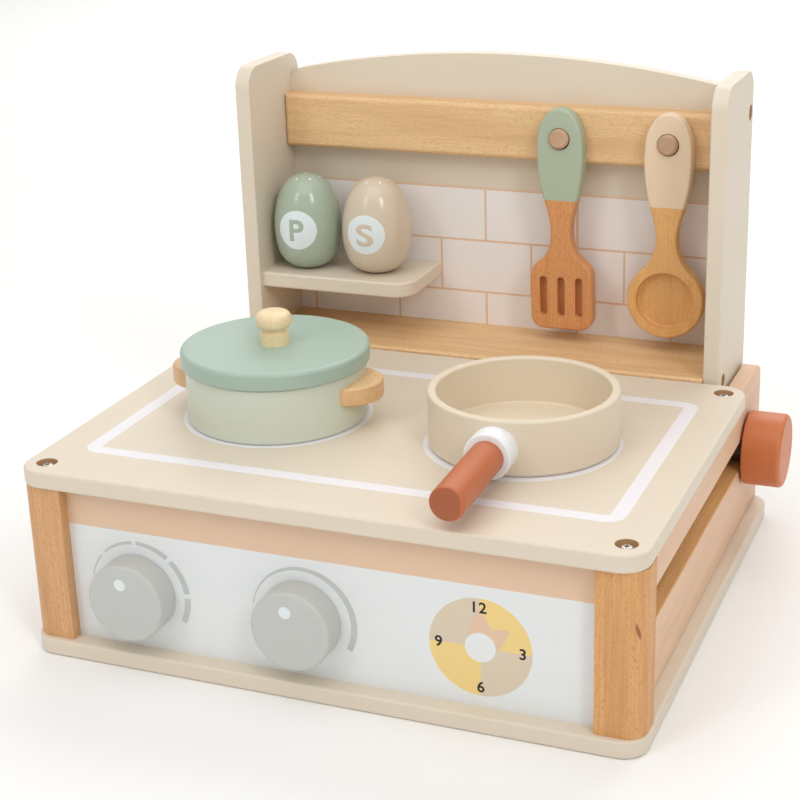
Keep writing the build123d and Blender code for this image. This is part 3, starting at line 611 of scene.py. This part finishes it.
def dial_arc(tree, flat, x, z, dashes):
    """Mask of the crescent round a dial, cut into dashes."""
    prints = bpy.context.scene.kitchen_prints
    shift = prints.arc_shift / MM
    outer = disc(tree, flat, x + shift, z, prints.arc_radius / MM)
    far = add(tree, "ShaderNodeVectorMath", {0: flat, 1: (x, z, 0)}, operation="DISTANCE")["Value"]
    inner = prints.arc_inner_radius / MM
    past = add(tree, "ShaderNodeMath", {0: far, 1: inner}, operation="GREATER_THAN")[0]
    from_centre = {0: flat, 1: (x + shift, z, 0)}
    moved = add(tree, "ShaderNodeVectorMath", from_centre, operation="SUBTRACT")[0]
    sides = add(tree, "ShaderNodeSeparateXYZ", {"Vector": moved})
    angle = add(tree, "ShaderNodeMath", {0: sides["Y"], 1: sides["X"]}, operation="ARCTAN2")[0]
    parts = []
    for start, end in dashes:
        dash = {0: angle, 1: math.radians((start + end) / 2), 2: math.radians((end - start) / 2)}
        parts.append(add(tree, "ShaderNodeMath", dash, operation="COMPARE")[0])
    return both(tree, outer, past, either(tree, *parts))


def panel_prints(tree, point):
    """Peach band, arcs round the dials and a clock in quarters."""
    prints = bpy.context.scene.kitchen_prints
    paints = bpy.context.scene.kitchen_paints
    flat = flat_point(tree, point, "X", "Z")
    layers = [(axis_mask(tree, point, "Z", prints.band_height / MM), paints.peach)]
    for name, dashes in (("dial_knob_left", LEFT_DASHES), ("dial_knob_right", RIGHT_DASHES)):
        x, _, z = middle(name)
        layers.append((dial_arc(tree, flat, x, z, dashes), paints.arc_grey))
    x = prints.clock_x / MM
    z = prints.clock_height / MM
    face = disc(tree, flat, x, z, prints.clock_radius / MM)
    right = axis_mask(tree, point, "X", x)
    high = axis_mask(tree, point, "Z", z)
    same = add(tree, "ShaderNodeMath", {0: right, 1: high, 2: 0.5}, operation="COMPARE")[0]
    layers.append((face, paints.clock_beige))
    layers.append((both(tree, face, same), paints.clock_yellow))
    for hand in CLOCK_HANDS:
        corners = [(x + a, z + b) for a, b in hand]
        layers.append((polygon(tree, flat, corners), paints.peach))
    layers.append((disc(tree, flat, x, z, prints.clock_hub / MM), paints.white))
    return layers


def tile_prints(tree, point):
    """Running bond of pale tiles with peach grout, up to a line below the rail."""
    prints = bpy.context.scene.kitchen_prints
    paints = bpy.context.scene.kitchen_paints
    flat = flat_point(tree, point, "X", "Z")
    low = (prints.tile_top - 3 * prints.tile_height) / MM
    shift = (prints.tile_start / MM, low, 0)
    moved = add(tree, "ShaderNodeVectorMath", {0: flat, 1: shift}, operation="SUBTRACT")[0]
    sizes = {
        "Vector": moved, "Scale": 1.0,
        "Mortar Size": prints.grout_width / 2 / MM, "Mortar Smooth": 0.0,
        "Brick Width": prints.tile_length / MM, "Row Height": prints.tile_height / MM,
    }
    grout = add(tree, "ShaderNodeTexBrick", sizes, offset=0.5, offset_frequency=2)["Fac"]
    top = (prints.tile_top + prints.grout_width / 2) / MM
    below_line = axis_mask(tree, point, "Z", top, above=False)
    tiled = both(tree, front_mask(tree, point, "back_board"), below_line)
    return [(tiled, paints.tile), (both(tree, tiled, grout), paints.peach)]


def handle_end(tree, point):
    """Darker paint on the round end of the pan handle: painted shade on that face."""
    end_shade = bpy.context.scene.kitchen_paints.shaded_end_terracotta
    return [(front_mask(tree, point, "pan_handle"), end_shade)]


def dial_dot(name):
    """White mark near the edge of a dial's face."""
    prints = bpy.context.scene.kitchen_prints
    x, _, z = middle(name)
    x -= prints.dot_left / MM
    z += prints.dot_rise / MM

    def make_layers(tree, point):
        dot = disc(tree, flat_point(tree, point, "X", "Z"), x, z, prints.dot_radius / MM)
        white = bpy.context.scene.kitchen_paints.label_white
        return [(both(tree, dot, front_mask(tree, point, name)), white)]

    return make_layers


def shaker_prints(name):
    """White label on the front of a shaker, and white dots on its top."""
    prints = bpy.context.scene.kitchen_prints
    x, y, _ = middle(name)
    low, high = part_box(name)

    def make_layers(tree, point):
        centre = (x, y, (low[2] + prints.label_height) / MM)
        moved = add(tree, "ShaderNodeVectorMath", {0: point, 1: centre}, operation="SUBTRACT")[0]
        back_turn = (0, 0, -LABEL_TURN[name])
        turned = add(tree, "ShaderNodeMapping", {"Vector": moved, "Rotation": back_turn})["Vector"]
        label = disc(tree, flat_point(tree, turned, "X", "Z"), 0, 0, prints.label_radius / MM)
        front = axis_mask(tree, turned, "Y", 0.0, above=False)
        flat = flat_point(tree, point, "X", "Y")
        ring_radius = prints.crown_ring / MM
        dots = [disc(tree, flat, x, y, prints.crown_dot / MM)]
        for step in range(CROWN_DOTS):
            angle = 2 * math.pi * step / CROWN_DOTS + CROWN_TURN
            spot = (x + ring_radius * math.cos(angle), y + ring_radius * math.sin(angle))
            dots.append(disc(tree, flat, *spot, prints.crown_dot / MM))
        crown = axis_mask(tree, point, "Z", (low[2] + high[2]) / 2 / MM)
        marks = either(tree, both(tree, label, front), both(tree, either(tree, *dots), crown))
        return [(marks, bpy.context.scene.kitchen_paints.label_white)]

    return make_layers


def slot_walls(name):
    """Bare wood on the walls of the slot in a side board."""
    low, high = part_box(name)
    half_board = (high[0] - low[0]) / 2 / MM - SKIN
    bush_low, bush_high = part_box("clamp_bush_right")
    half_slot = (bush_high[2] - bush_low[2]) / 2 / MM + SLOT_MARGIN
    _, rear_y, pivot_z = middle("clamp_bush_right")

    def make_layers(tree, point):
        deep = band_mask(tree, point, "X", middle(name)[0], half_board)
        beside = band_mask(tree, point, "Z", pivot_z, half_slot)
        ahead = axis_mask(tree, point, "Y", rear_y + half_slot, above=False)
        raw = wood_colour(tree, point, "Y", "slot")[0]
        return [(both(tree, deep, beside, ahead), raw)]

    return make_layers


def post_streak(tree, point):
    """Slim dark mineral streak in the right front post."""
    moved = add(tree, "ShaderNodeVectorMath", {0: point, 1: STREAK_PLACE}, operation="SUBTRACT")[0]
    lean = {"Vector": moved, "Rotation": (0, STREAK_LEAN, 0)}
    leaning = add(tree, "ShaderNodeMapping", lean)["Vector"]
    shrunk = add(tree, "ShaderNodeVectorMath", {0: leaning, 1: STREAK_REACH}, operation="DIVIDE")[0]
    far = add(tree, "ShaderNodeVectorMath", {0: shrunk}, operation="LENGTH")["Value"]
    soft = {"Value": far, "From Min": 1.0, "From Max": 0.45, "To Max": 0.85}
    mask = add(tree, "ShaderNodeMapRange", soft, interpolation_type="SMOOTHSTEP")["Result"]
    return [(mask, bpy.context.scene.kitchen_woods.streak)]


def grip_paint(name, tone):
    """Utensil: painted grip above the paint line, lacquered beech below it."""
    prints = bpy.context.scene.kitchen_prints
    material, tree, point = new_material(f"Beech_{name}_painted_grip")
    base, relief = wood_colour(tree, point, "Z", name)
    peg = middle("hanging_peg_left")[2]
    painted = axis_mask(tree, point, "Z", peg - prints.paint_line / MM)
    # Inside the hang hole the wood is bare.
    flat = flat_point(tree, point, "X", "Z")
    hole = disc(tree, flat, middle(name)[0], peg, prints.hang_hole / MM)
    sunk = axis_mask(tree, point, "Y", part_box(name)[0][1] / MM + 2 * SKIN)
    bare = both(tree, hole, sunk)
    painted = add(tree, "ShaderNodeMath", {0: painted, 1: bare}, operation="GREATER_THAN")[0]
    base = add(tree, "ShaderNodeMix", {0: painted, 6: base, 7: tone}, data_type="RGBA")[2]
    finish_surface(tree, base, (relief, 0.52, 0.4), relief, 0.02, {"IOR": 1.5})
    return material


# Operators


class KITCHEN_OT_painted_boards(bpy.types.Operator):
    """Paint and print the boards: base, cooktop, front panel, backsplash and shelf."""

    bl_idname = "kitchen.painted_boards"
    bl_label = "Painted boards"

    def execute(self, context):
        paints = context.scene.kitchen_paints
        top_holes = recess_prints(["cooktop_screws"], "X", "Y", "Z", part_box("cooktop")[1][2], -1)
        base_holes = recess_prints(["base_screws"], "X", "Y", "Z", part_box("base_board")[0][2], 1)
        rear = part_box("back_board")[1][1]
        back_holes = recess_prints(["rail_screws", "shelf_screws"], "X", "Z", "Y", rear, -1)
        boards = (
            ("cooktop", "cooktop", paints.beige, [cooktop_prints, top_holes]),
            ("base_board", "base", paints.beige, [base_holes]),
            ("front_panel", "panel", paints.white, [panel_prints]),
            ("back_board", "back", paints.beige, [tile_prints, back_holes]),
            ("shelf", "shelf", paints.beige, []),
        )
        for node, name, tone, prints in boards:
            dress([node], satin_paint(f"Satin_paint_{name}", tone, prints=prints))
        for side, end, inward in (("left", 0, 1), ("right", 1, -1)):
            node = f"backsplash_side_{side}"
            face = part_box(node)[end][0]
            holes = recess_prints(["backsplash_screws"], "Y", "Z", "X", face, inward)
            paint = satin_paint(f"Satin_paint_side_{side}", paints.beige, "Z", prints=[holes])
            dress([node], paint)
        return {"FINISHED"}


class KITCHEN_OT_beech_parts(bpy.types.Operator):
    """Finish the beech posts, side boards, rail and ledge, and the dowels and pegs."""

    bl_idname = "kitchen.beech_parts"
    bl_label = "Beech parts"

    def execute(self, context):
        dress(["front_post_left"], lacquered_wood("Lacquered_beech_left_post", "Z", "pale_beech"))
        right = lacquered_wood("Lacquered_beech_right_post", "Z", "beech", prints=[post_streak])
        dress(["front_post_right"], right)
        for side in ("left", "right"):
            node = f"side_board_{side}"
            # Painted sheen: the pale side-board colours carry part of the lacquer's grazing gloss,
            # besides the wood's pink tint
            deep = lacquered_wood(f"Lacquered_beech_side_{side}", "Y", "side", flecks=0.25,
                                  prints=[slot_walls(node)])
            dress([node], deep)
        across = lacquered_wood("Lacquered_beech_across", "X", "rail")
        dress(["hanging_rail", "ledge_board"], across)
        pegs = lacquered_wood("Beech_dowel_pegs", "Y", "peg", 0.55)
        dress([*pair("hanging_peg"), "pan_tenon"], pegs)
        dowels = lacquered_wood("Beech_dowel_pins", "X", "peg", 0.6)
        dress(["panel_dowels", "pot_handle_dowels"], dowels)
        return {"FINISHED"}


class KITCHEN_OT_cookware(bpy.types.Operator):
    """Finish the pot, its lid and the pan."""

    bl_idname = "kitchen.cookware"
    bl_label = "Cookware"

    def execute(self, context):
        paints = context.scene.kitchen_paints
        finishes = (
            ("pot_body", "pot", paints.pot_green, "X", 0.34, []),
            ("pot_lid", "lid", paints.lid_green, "X", 0.37, []),
            ("pan_body", "pan", paints.pan_beige, "X", 0.4, []),
            ("pan_collar", "collar", paints.collar_white, "Y", 0.36, []),
            # The end of the pan handle carries painted shade
            ("pan_handle", "handle", paints.terracotta, "Y", 0.4, [handle_end]),
        )
        for node, name, tone, axis, roughness, prints in finishes:
            dress([node], satin_paint(f"Satin_paint_{name}", tone, axis, roughness, prints))
        dress(pair("pot_handle"), lacquered_wood("Lacquered_beech_ears", "Y", "rail", 0.36))
        knob = lacquered_wood("Lacquered_maple_knob", "Z", "maple", 0.36)
        dress(["lid_knob", "lid_tenon"], knob)
        return {"FINISHED"}


def text_mesh(words, height, thickness, spacing=1.0, width=1.0):
    """Slightly thickened letters as a mesh, centred and facing +Z."""
    deselect()
    bpy.ops.object.text_add()
    letters = bpy.context.object
    letters.data.body = words
    letters.data.align_x = "CENTER"
    letters.data.align_y = "CENTER"
    letters.data.size = height / CAP_HEIGHT
    letters.data.offset = height * LETTER_BOLDNESS
    letters.data.space_character = spacing
    letters.data.extrude = thickness / 2
    bpy.ops.object.convert(target="MESH")
    bpy.ops.object.origin_set(type="ORIGIN_GEOMETRY", center="BOUNDS")
    letters.location = (0, 0, 0)
    letters.scale = (width, 1.0, 1.0)
    bpy.ops.object.transform_apply(location=True, rotation=True, scale=True)
    return letters


class KITCHEN_OT_shakers(bpy.types.Operator):
    """Finish both shakers and cut the raised letters for their labels."""

    bl_idname = "kitchen.shakers"
    bl_label = "Shakers"

    def execute(self, context):
        paints = context.scene.kitchen_paints
        prints = context.scene.kitchen_prints
        parts = (("pepper_shaker", "pepper", "P", paints.sage, "sage_paint"),
                 ("salt_shaker", "salt", "S", paints.salt_beige, "beige_paint"))
        for node, body, letter, tone, slot in parts:
            egg = satin_paint(f"Satin_paint_{body}", tone, "Z", 0.17, prints=[shaker_prints(node)])
            dress([node], egg)
            plain = satin_paint(f"Satin_print_{body}", tone, "Z", 0.3)
            self.make_letter(node, body, letter, plain, slot, prints)
        return {"FINISHED"}

    def make_letter(self, node, body, letter, material, slot, prints):
        """Letter that lies on the round front: its prism is cut with a slightly larger egg."""
        x, y, _ = middle(node)
        low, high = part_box(node)
        reach = high[0] - low[0]
        piece = text_mesh(letter, prints.letter_height, reach / 2, width=LETTER_WIDTH[letter])
        centre = Matrix.Translation((x * MM, y * MM, low[2] + prints.label_height))
        spin = Matrix.Rotation(LABEL_TURN[node], 4, "Z") @ Matrix.Translation((0, -reach / 4, 0))
        piece.matrix_world = centre @ spin @ Matrix.Rotation(math.pi / 2, 4, "X")
        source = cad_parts[node]
        pick(source)
        bpy.ops.object.duplicate()
        egg = bpy.context.object
        egg.parent = None
        bpy.ops.object.mode_set(mode="EDIT")
        bpy.ops.mesh.select_all(action="SELECT")
        bpy.ops.mesh.remove_doubles(threshold=0.001 * MM)
        bpy.ops.transform.shrink_fatten(value=prints.letter_relief)
        cut(piece, egg, "INTERSECT")
        settle(piece, f"{body}_letter", body, material)


class KITCHEN_OT_utensils(bpy.types.Operator):
    """Finish the spatula and the spoon."""

    bl_idname = "kitchen.utensils"
    bl_label = "Utensils"

    def execute(self, context):
        paints = context.scene.kitchen_paints
        spatula = grip_paint("spatula", paints.grip_green)
        dress(["spatula"], spatula)
        dress(["spoon"], grip_paint("spoon", paints.grip_beige))
        self.make_slot_floors(spatula, context.scene.kitchen_prints)
        return {"FINISHED"}

    def make_slot_floors(self, material, sizes):
        """Wood at the bottom of the three slots of the blade."""
        low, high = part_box("spatula")
        depth = high[1] - low[1] - sizes.slot_depth - SKIN * MM
        radius = sizes.slot_width / 2
        straight = sizes.slot_length - sizes.slot_width
        drop = sizes.slot_drop + straight / 2
        hole_x = middle("hanging_peg_left")[0] * MM
        hole = Vector((hole_x, high[1] - SKIN * MM - depth / 2, high[2] - sizes.hole_drop))
        floors = []
        for step in (-1, 0, 1):
            deselect()
            bpy.ops.mesh.primitive_cylinder_add(vertices=SLOT_SIDES, radius=radius, depth=depth)
            bar = bpy.context.object
            bpy.ops.object.mode_set(mode="EDIT")
            select_parts(bar, "VERT", lambda vertex: vertex.co.y > 0)
            bpy.ops.transform.translate(value=(0, straight, 0))
            bpy.ops.object.mode_set(mode="OBJECT")
            centre = Matrix.Translation((step * sizes.slot_pitch, 0, -drop))
            lean = Matrix.Rotation(-SPATULA_TILT, 4, "Y")
            upright = Matrix.Rotation(math.pi / 2, 4, "X")
            bar.matrix_world = Matrix.Translation(hole) @ lean @ centre @ upright
            floors.append(bar)
        settle(join(floors), "spatula_slot_floors", "spatula", material)


class KITCHEN_OT_dials(bpy.types.Operator):
    """Finish the two dials, their axles and washers."""

    bl_idname = "kitchen.dials"
    bl_label = "Dials"

    def execute(self, context):
        grey = context.scene.kitchen_paints.grey
        for side in ("left", "right"):
            node = f"dial_knob_{side}"
            dial = satin_paint(f"Satin_paint_dial_{side}", grey, "Z", 0.39, prints=[dial_dot(node)])
            dress([node], dial)
        dress(pair("dial_axle"), zinc("Zinc_plated_axles"))
        dress(pair("dial_washer"), moulded_nylon("Nylon_dial_washers"))
        return {"FINISHED"}


class KITCHEN_OT_clock(bpy.types.Operator):
    """Set the four numbers on the printed clock."""

    bl_idname = "kitchen.clock"
    bl_label = "Clock numbers"

    def execute(self, context):
        prints = context.scene.kitchen_prints
        ink = satin_paint("Printed_figures", context.scene.kitchen_paints.figures, "X", 0.5)
        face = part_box("front_panel")[0][1]
        reach = prints.figure_circle
        for words, x, z in (("12", 0, reach), ("3", reach, 0), ("6", 0, -reach), ("9", -reach, 0)):
            figure = text_mesh(words, prints.figure_height, FIGURE_THICKNESS, FIGURE_SPACING)
            place = Vector((prints.clock_x + x, face, prints.clock_height + z))
            figure.matrix_world = Matrix.Translation(place) @ Matrix.Rotation(math.pi / 2, 4, "X")
            settle(figure, f"clock_figure_{words}", "box", ink)
        return {"FINISHED"}


def fine_marks(tree, marks, light, dark, roughness, depth, settings):
    """Surface whose fine marks show in its colour, its gloss and its relief."""
    tones = {0: marks, 6: linear(light), 7: linear(dark)}
    base = add(tree, "ShaderNodeMix", tones, data_type="RGBA")[2]
    finish_surface(tree, base, (marks, roughness, roughness + 0.2), marks, depth, settings)


def zinc(name):
    """Zinc-plated steel: bright, with fine turning marks."""
    material, tree, point = new_material(name)
    turned = {"Vector": point, "Scale": 1 / ZINC_MARKS, "Detail": 2.0}
    marks = add(tree, "ShaderNodeTexNoise", turned)["Fac"]
    fine_marks(tree, marks, "D6D5D0", "AFAEA8", 0.2, 0.01, {"Metallic": 1.0})
    return material


def brass(name):
    """Machined brass: warm metal with fine turning marks."""
    material, tree, point = new_material(name)
    marks = fibres(tree, point, "X", *BRASS_MARKS)
    fine_marks(tree, marks, "D9B36A", "B98F4A", 0.24, 0.01, {"Metallic": 1.0})
    return material


def moulded_nylon(name):
    """Moulded nylon, dark and slightly rough, as washers and bushes have."""
    material, tree, point = new_material(name)
    moulded = {"Vector": point, "Scale": 1 / NYLON_PITS, "Detail": 2.0}
    pits = add(tree, "ShaderNodeTexNoise", moulded)["Fac"]
    fine_marks(tree, pits, "5E534A", "4A4039", 0.44, 0.02, {"IOR": 1.53})
    return material


class KITCHEN_OT_clamps(bpy.types.Operator):
    """Finish the clamp knobs and the metal and nylon of the fold joint."""

    bl_idname = "kitchen.clamps"
    bl_label = "Clamps"

    def execute(self, context):
        tone = context.scene.kitchen_paints.light_terracotta
        dress(pair("clamp_knob"), satin_paint("Satin_paint_clamps", tone, "X", 0.4))
        nylon = moulded_nylon("Nylon_fold_joint")
        for part in ("spacer", "bush", "washer"):
            dress(pair(f"clamp_{part}"), nylon)
        dress(pair("clamp_bolt"), zinc("Zinc_plated_bolts"))
        dress(pair("clamp_insert"), brass("Machined_brass_inserts"))
        return {"FINISHED"}


class KITCHEN_OT_screws(bpy.types.Operator):
    """Make the cross-head screws and set one at each place of the CAD screws."""

    bl_idname = "kitchen.screws"
    bl_label = "Screws"

    def execute(self, context):
        metal = zinc("Zinc_plated_screws")
        rows = (("cooktop_screws", "box", (0, 0, 1)), ("base_screws", "box", (0, 0, -1)),
                ("backsplash_screws", "backsplash", None), ("rail_screws", "backsplash", (0, 1, 0)),
                ("shelf_screws", "backsplash", (0, 1, 0)))
        for node, body, facing in rows:
            self.make_row(node, body, facing, metal)
        return {"FINISHED"}

    def make_screw(self, shank):
        """One screw along +Z, with the underside of its head at the origin."""
        sizes = bpy.context.scene.kitchen_screws
        deselect()
        bpy.ops.mesh.primitive_cylinder_add(
            vertices=SCREW_SIDES, radius=sizes.head_radius, depth=sizes.head_height,
            location=(0, 0, sizes.head_height / 2))
        screw = bpy.context.object
        bpy.ops.object.transform_apply(location=True, rotation=True, scale=True)
        bpy.ops.object.mode_set(mode="EDIT")
        select_parts(screw, "FACE", lambda face: face.normal.z < -0.9)
        bpy.ops.mesh.inset(thickness=sizes.head_radius - sizes.shank_radius, depth=0)
        bpy.ops.mesh.extrude_region_move(TRANSFORM_OT_translate={"value": (0, 0, -shank)})
        bpy.ops.transform.resize(value=POINT_TAPER)
        select_parts(screw, "FACE", lambda face: face.normal.z > 0.9)
        bpy.ops.mesh.bevel(offset=sizes.head_round, segments=HEAD_STEPS, affect="EDGES")
        bpy.ops.object.mode_set(mode="OBJECT")
        self.cut_cross(screw, sizes)
        bpy.ops.object.shade_smooth_by_angle(angle=SMOOTH_ANGLE)
        return screw

    def cut_cross(self, screw, sizes):
        """Tapered cross recess in the head."""
        for turn in (0, math.pi / 2):
            bpy.ops.object.select_all(action="DESELECT")
            place = (0, 0, sizes.head_height)
            bpy.ops.mesh.primitive_cube_add(size=1, location=place, rotation=(0, 0, turn))
            blade = bpy.context.object
            blade.scale = (sizes.cross_length, sizes.cross_width, 2 * sizes.cross_depth)
            bpy.ops.object.mode_set(mode="EDIT")
            select_parts(blade, "FACE", lambda face: face.normal.z < -0.9)
            bpy.ops.transform.resize(value=CROSS_TAPER)
            cut(screw, blade, "DIFFERENCE")

    def make_row(self, node, body, facing, metal):
        """All screws of one CAD node as one piece."""
        head_height = bpy.context.scene.kitchen_screws.head_height
        copies = []
        for place, size in screw_boxes(node):
            way = Vector(facing or (math.copysign(1, place[0]), 0, 0))
            whole = abs(way.dot(Vector(size))) * MM
            seat = Vector(place) * MM + way * (whole / 2 - head_height)
            screw = self.make_screw(whole - head_height)
            screw.matrix_world = Matrix.Translation(seat) @ turn_to(way)
            copies.append(screw)
        row = join(copies)
        settle(row, f"{node}_cross_head", body, metal)
        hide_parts(node)


def place_light(name, spot, target, width, height, watts):
    """Soft light of this width and height at a spot, turned to its target."""
    deselect()
    bpy.ops.object.light_add(type="AREA", location=spot)
    lamp = bpy.context.object
    lamp.name = name
    lamp.data.shape = "RECTANGLE"
    lamp.data.size = width
    lamp.data.size_y = height
    lamp.data.energy = watts
    lamp.rotation_euler = (Vector(target) - Vector(spot)).to_track_quat("-Z", "Y").to_euler()


class KITCHEN_OT_stage(bpy.types.Operator):
    """Make the plain studio: curved backdrop, soft lights and the camera."""

    bl_idname = "kitchen.stage"
    bl_label = "Studio"

    def execute(self, context):
        studio = context.scene.kitchen_studio
        self.make_backdrop(studio)
        for name, spot, target, width, height, setting in LIGHTS:
            place_light(name, spot, target, width, height, getattr(studio, setting))
        world = bpy.data.worlds.new("Studio_room")
        world.use_nodes = True
        world.node_tree.nodes.clear()
        white_sky = {"Color": (1, 1, 1, 1), "Strength": studio.sky}
        light = add(world.node_tree, "ShaderNodeBackground", white_sky)
        add(world.node_tree, "ShaderNodeOutputWorld", {"Surface": light[0]})
        context.scene.world = world
        context.scene.view_settings.view_transform = "Standard"
        context.scene.view_settings.look = "None"
        self.make_camera(studio)
        return {"FINISHED"}

    def make_backdrop(self, studio):
        """Floor that curves up behind the object."""
        deselect()
        bpy.ops.mesh.primitive_plane_add(size=FLOOR_SIZE, location=(0, 0, -0.2 * MM))
        floor = bpy.context.object
        bpy.ops.object.mode_set(mode="EDIT")

        def rear_low(edge):
            """Whether both ends of the edge lie at the rear of the floor."""
            ends = [floor.data.vertices[i].co for i in edge.vertices]
            return all(end.y > 0 and end.z < WALL_HEIGHT / 2 for end in ends)

        select_parts(floor, "EDGE", rear_low)
        bpy.ops.mesh.extrude_region_move(TRANSFORM_OT_translate={"value": (0, 0, WALL_HEIGHT)})
        select_parts(floor, "EDGE", rear_low)
        bpy.ops.mesh.bevel(offset=BEND_RADIUS, segments=BEND_STEPS, affect="EDGES")
        bpy.ops.object.mode_set(mode="OBJECT")
        bpy.ops.object.shade_smooth()
        floor.name = "Studio_floor"
        material, tree, point = new_material("Matte_studio_paper")
        pulp = {"Vector": point, "Scale": 1 / PAPER_GRAIN, "Detail": 2.0}
        fibre = add(tree, "ShaderNodeTexNoise", pulp)["Fac"]
        faint = add(tree, "ShaderNodeMath", {0: fibre, 1: 0.05}, operation="MULTIPLY")[0]
        tones = {0: faint, 6: studio.floor, 7: linear("E2E0DC")}
        base = add(tree, "ShaderNodeMix", tones, data_type="RGBA")[2]
        finish_surface(tree, base, (fibre, 0.85, 0.85), fibre, 0.01, {"IOR": 1.5})
        floor.data.materials.append(material)

    def make_camera(self, studio):
        """Camera at the photograph's viewing angle."""
        deselect()
        bpy.ops.object.camera_add()
        camera = bpy.context.object
        look = Vector(CAMERA_LOOK).normalized()
        right = look.cross(Vector(CAMERA_UP)).normalized()
        axes = Matrix((right, right.cross(look), -look)).transposed()
        camera.matrix_world = Matrix.Translation(CAMERA_PLACE) @ axes.to_4x4()
        camera.data.sensor_width = 36.0
        camera.data.lens = studio.lens
        camera.data.shift_x, camera.data.shift_y = CAMERA_SHIFT
        camera.data.dof.use_dof = False
        bpy.context.scene.camera = camera


GROUPS = (
    ("kitchen_paints", KitchenPaints),
    ("kitchen_woods", KitchenWoods),
    ("kitchen_prints", KitchenPrints),
    ("kitchen_screws", KitchenScrews),
    ("kitchen_studio", KitchenStudio),
)

OPERATORS = (
    KITCHEN_OT_painted_boards,
    KITCHEN_OT_beech_parts,
    KITCHEN_OT_cookware,
    KITCHEN_OT_shakers,
    KITCHEN_OT_utensils,
    KITCHEN_OT_dials,
    KITCHEN_OT_clock,
    KITCHEN_OT_clamps,
    KITCHEN_OT_screws,
    KITCHEN_OT_stage,
)


class KITCHEN_PT_panel(bpy.types.Panel):
    """Play kitchen"""

    bl_idname = "KITCHEN_PT_panel"
    bl_label = "Play kitchen"
    bl_space_type = "VIEW_3D"
    bl_region_type = "UI"
    bl_category = "Play Kitchen"

    def draw(self, context):
        layout = self.layout
        for operator in OPERATORS:
            layout.operator(operator.bl_idname)
        for attribute, group in GROUPS:
            box = layout.box()
            box.label(text=group.__doc__)
            values = getattr(context.scene, attribute)
            for key in group.__annotations__:
                box.prop(values, key)


def register():
    for attribute, group in GROUPS:
        bpy.utils.register_class(group)
        setattr(bpy.types.Scene, attribute, bpy.props.PointerProperty(type=group))
    for operator in OPERATORS:
        bpy.utils.register_class(operator)
    bpy.utils.register_class(KITCHEN_PT_panel)


def unregister():
    bpy.utils.unregister_class(KITCHEN_PT_panel)
    for operator in reversed(OPERATORS):
        bpy.utils.unregister_class(operator)
    for attribute, group in reversed(GROUPS):
        delattr(bpy.types.Scene, attribute)
        bpy.utils.unregister_class(group)


def main():
    register()
    bpy.ops.kitchen.painted_boards()
    bpy.ops.kitchen.beech_parts()
    bpy.ops.kitchen.cookware()
    bpy.ops.kitchen.shakers()
    bpy.ops.kitchen.utensils()
    bpy.ops.kitchen.dials()
    bpy.ops.kitchen.clock()
    bpy.ops.kitchen.clamps()
    bpy.ops.kitchen.screws()
    bpy.ops.kitchen.stage()


if __name__ == "__main__":
    main()
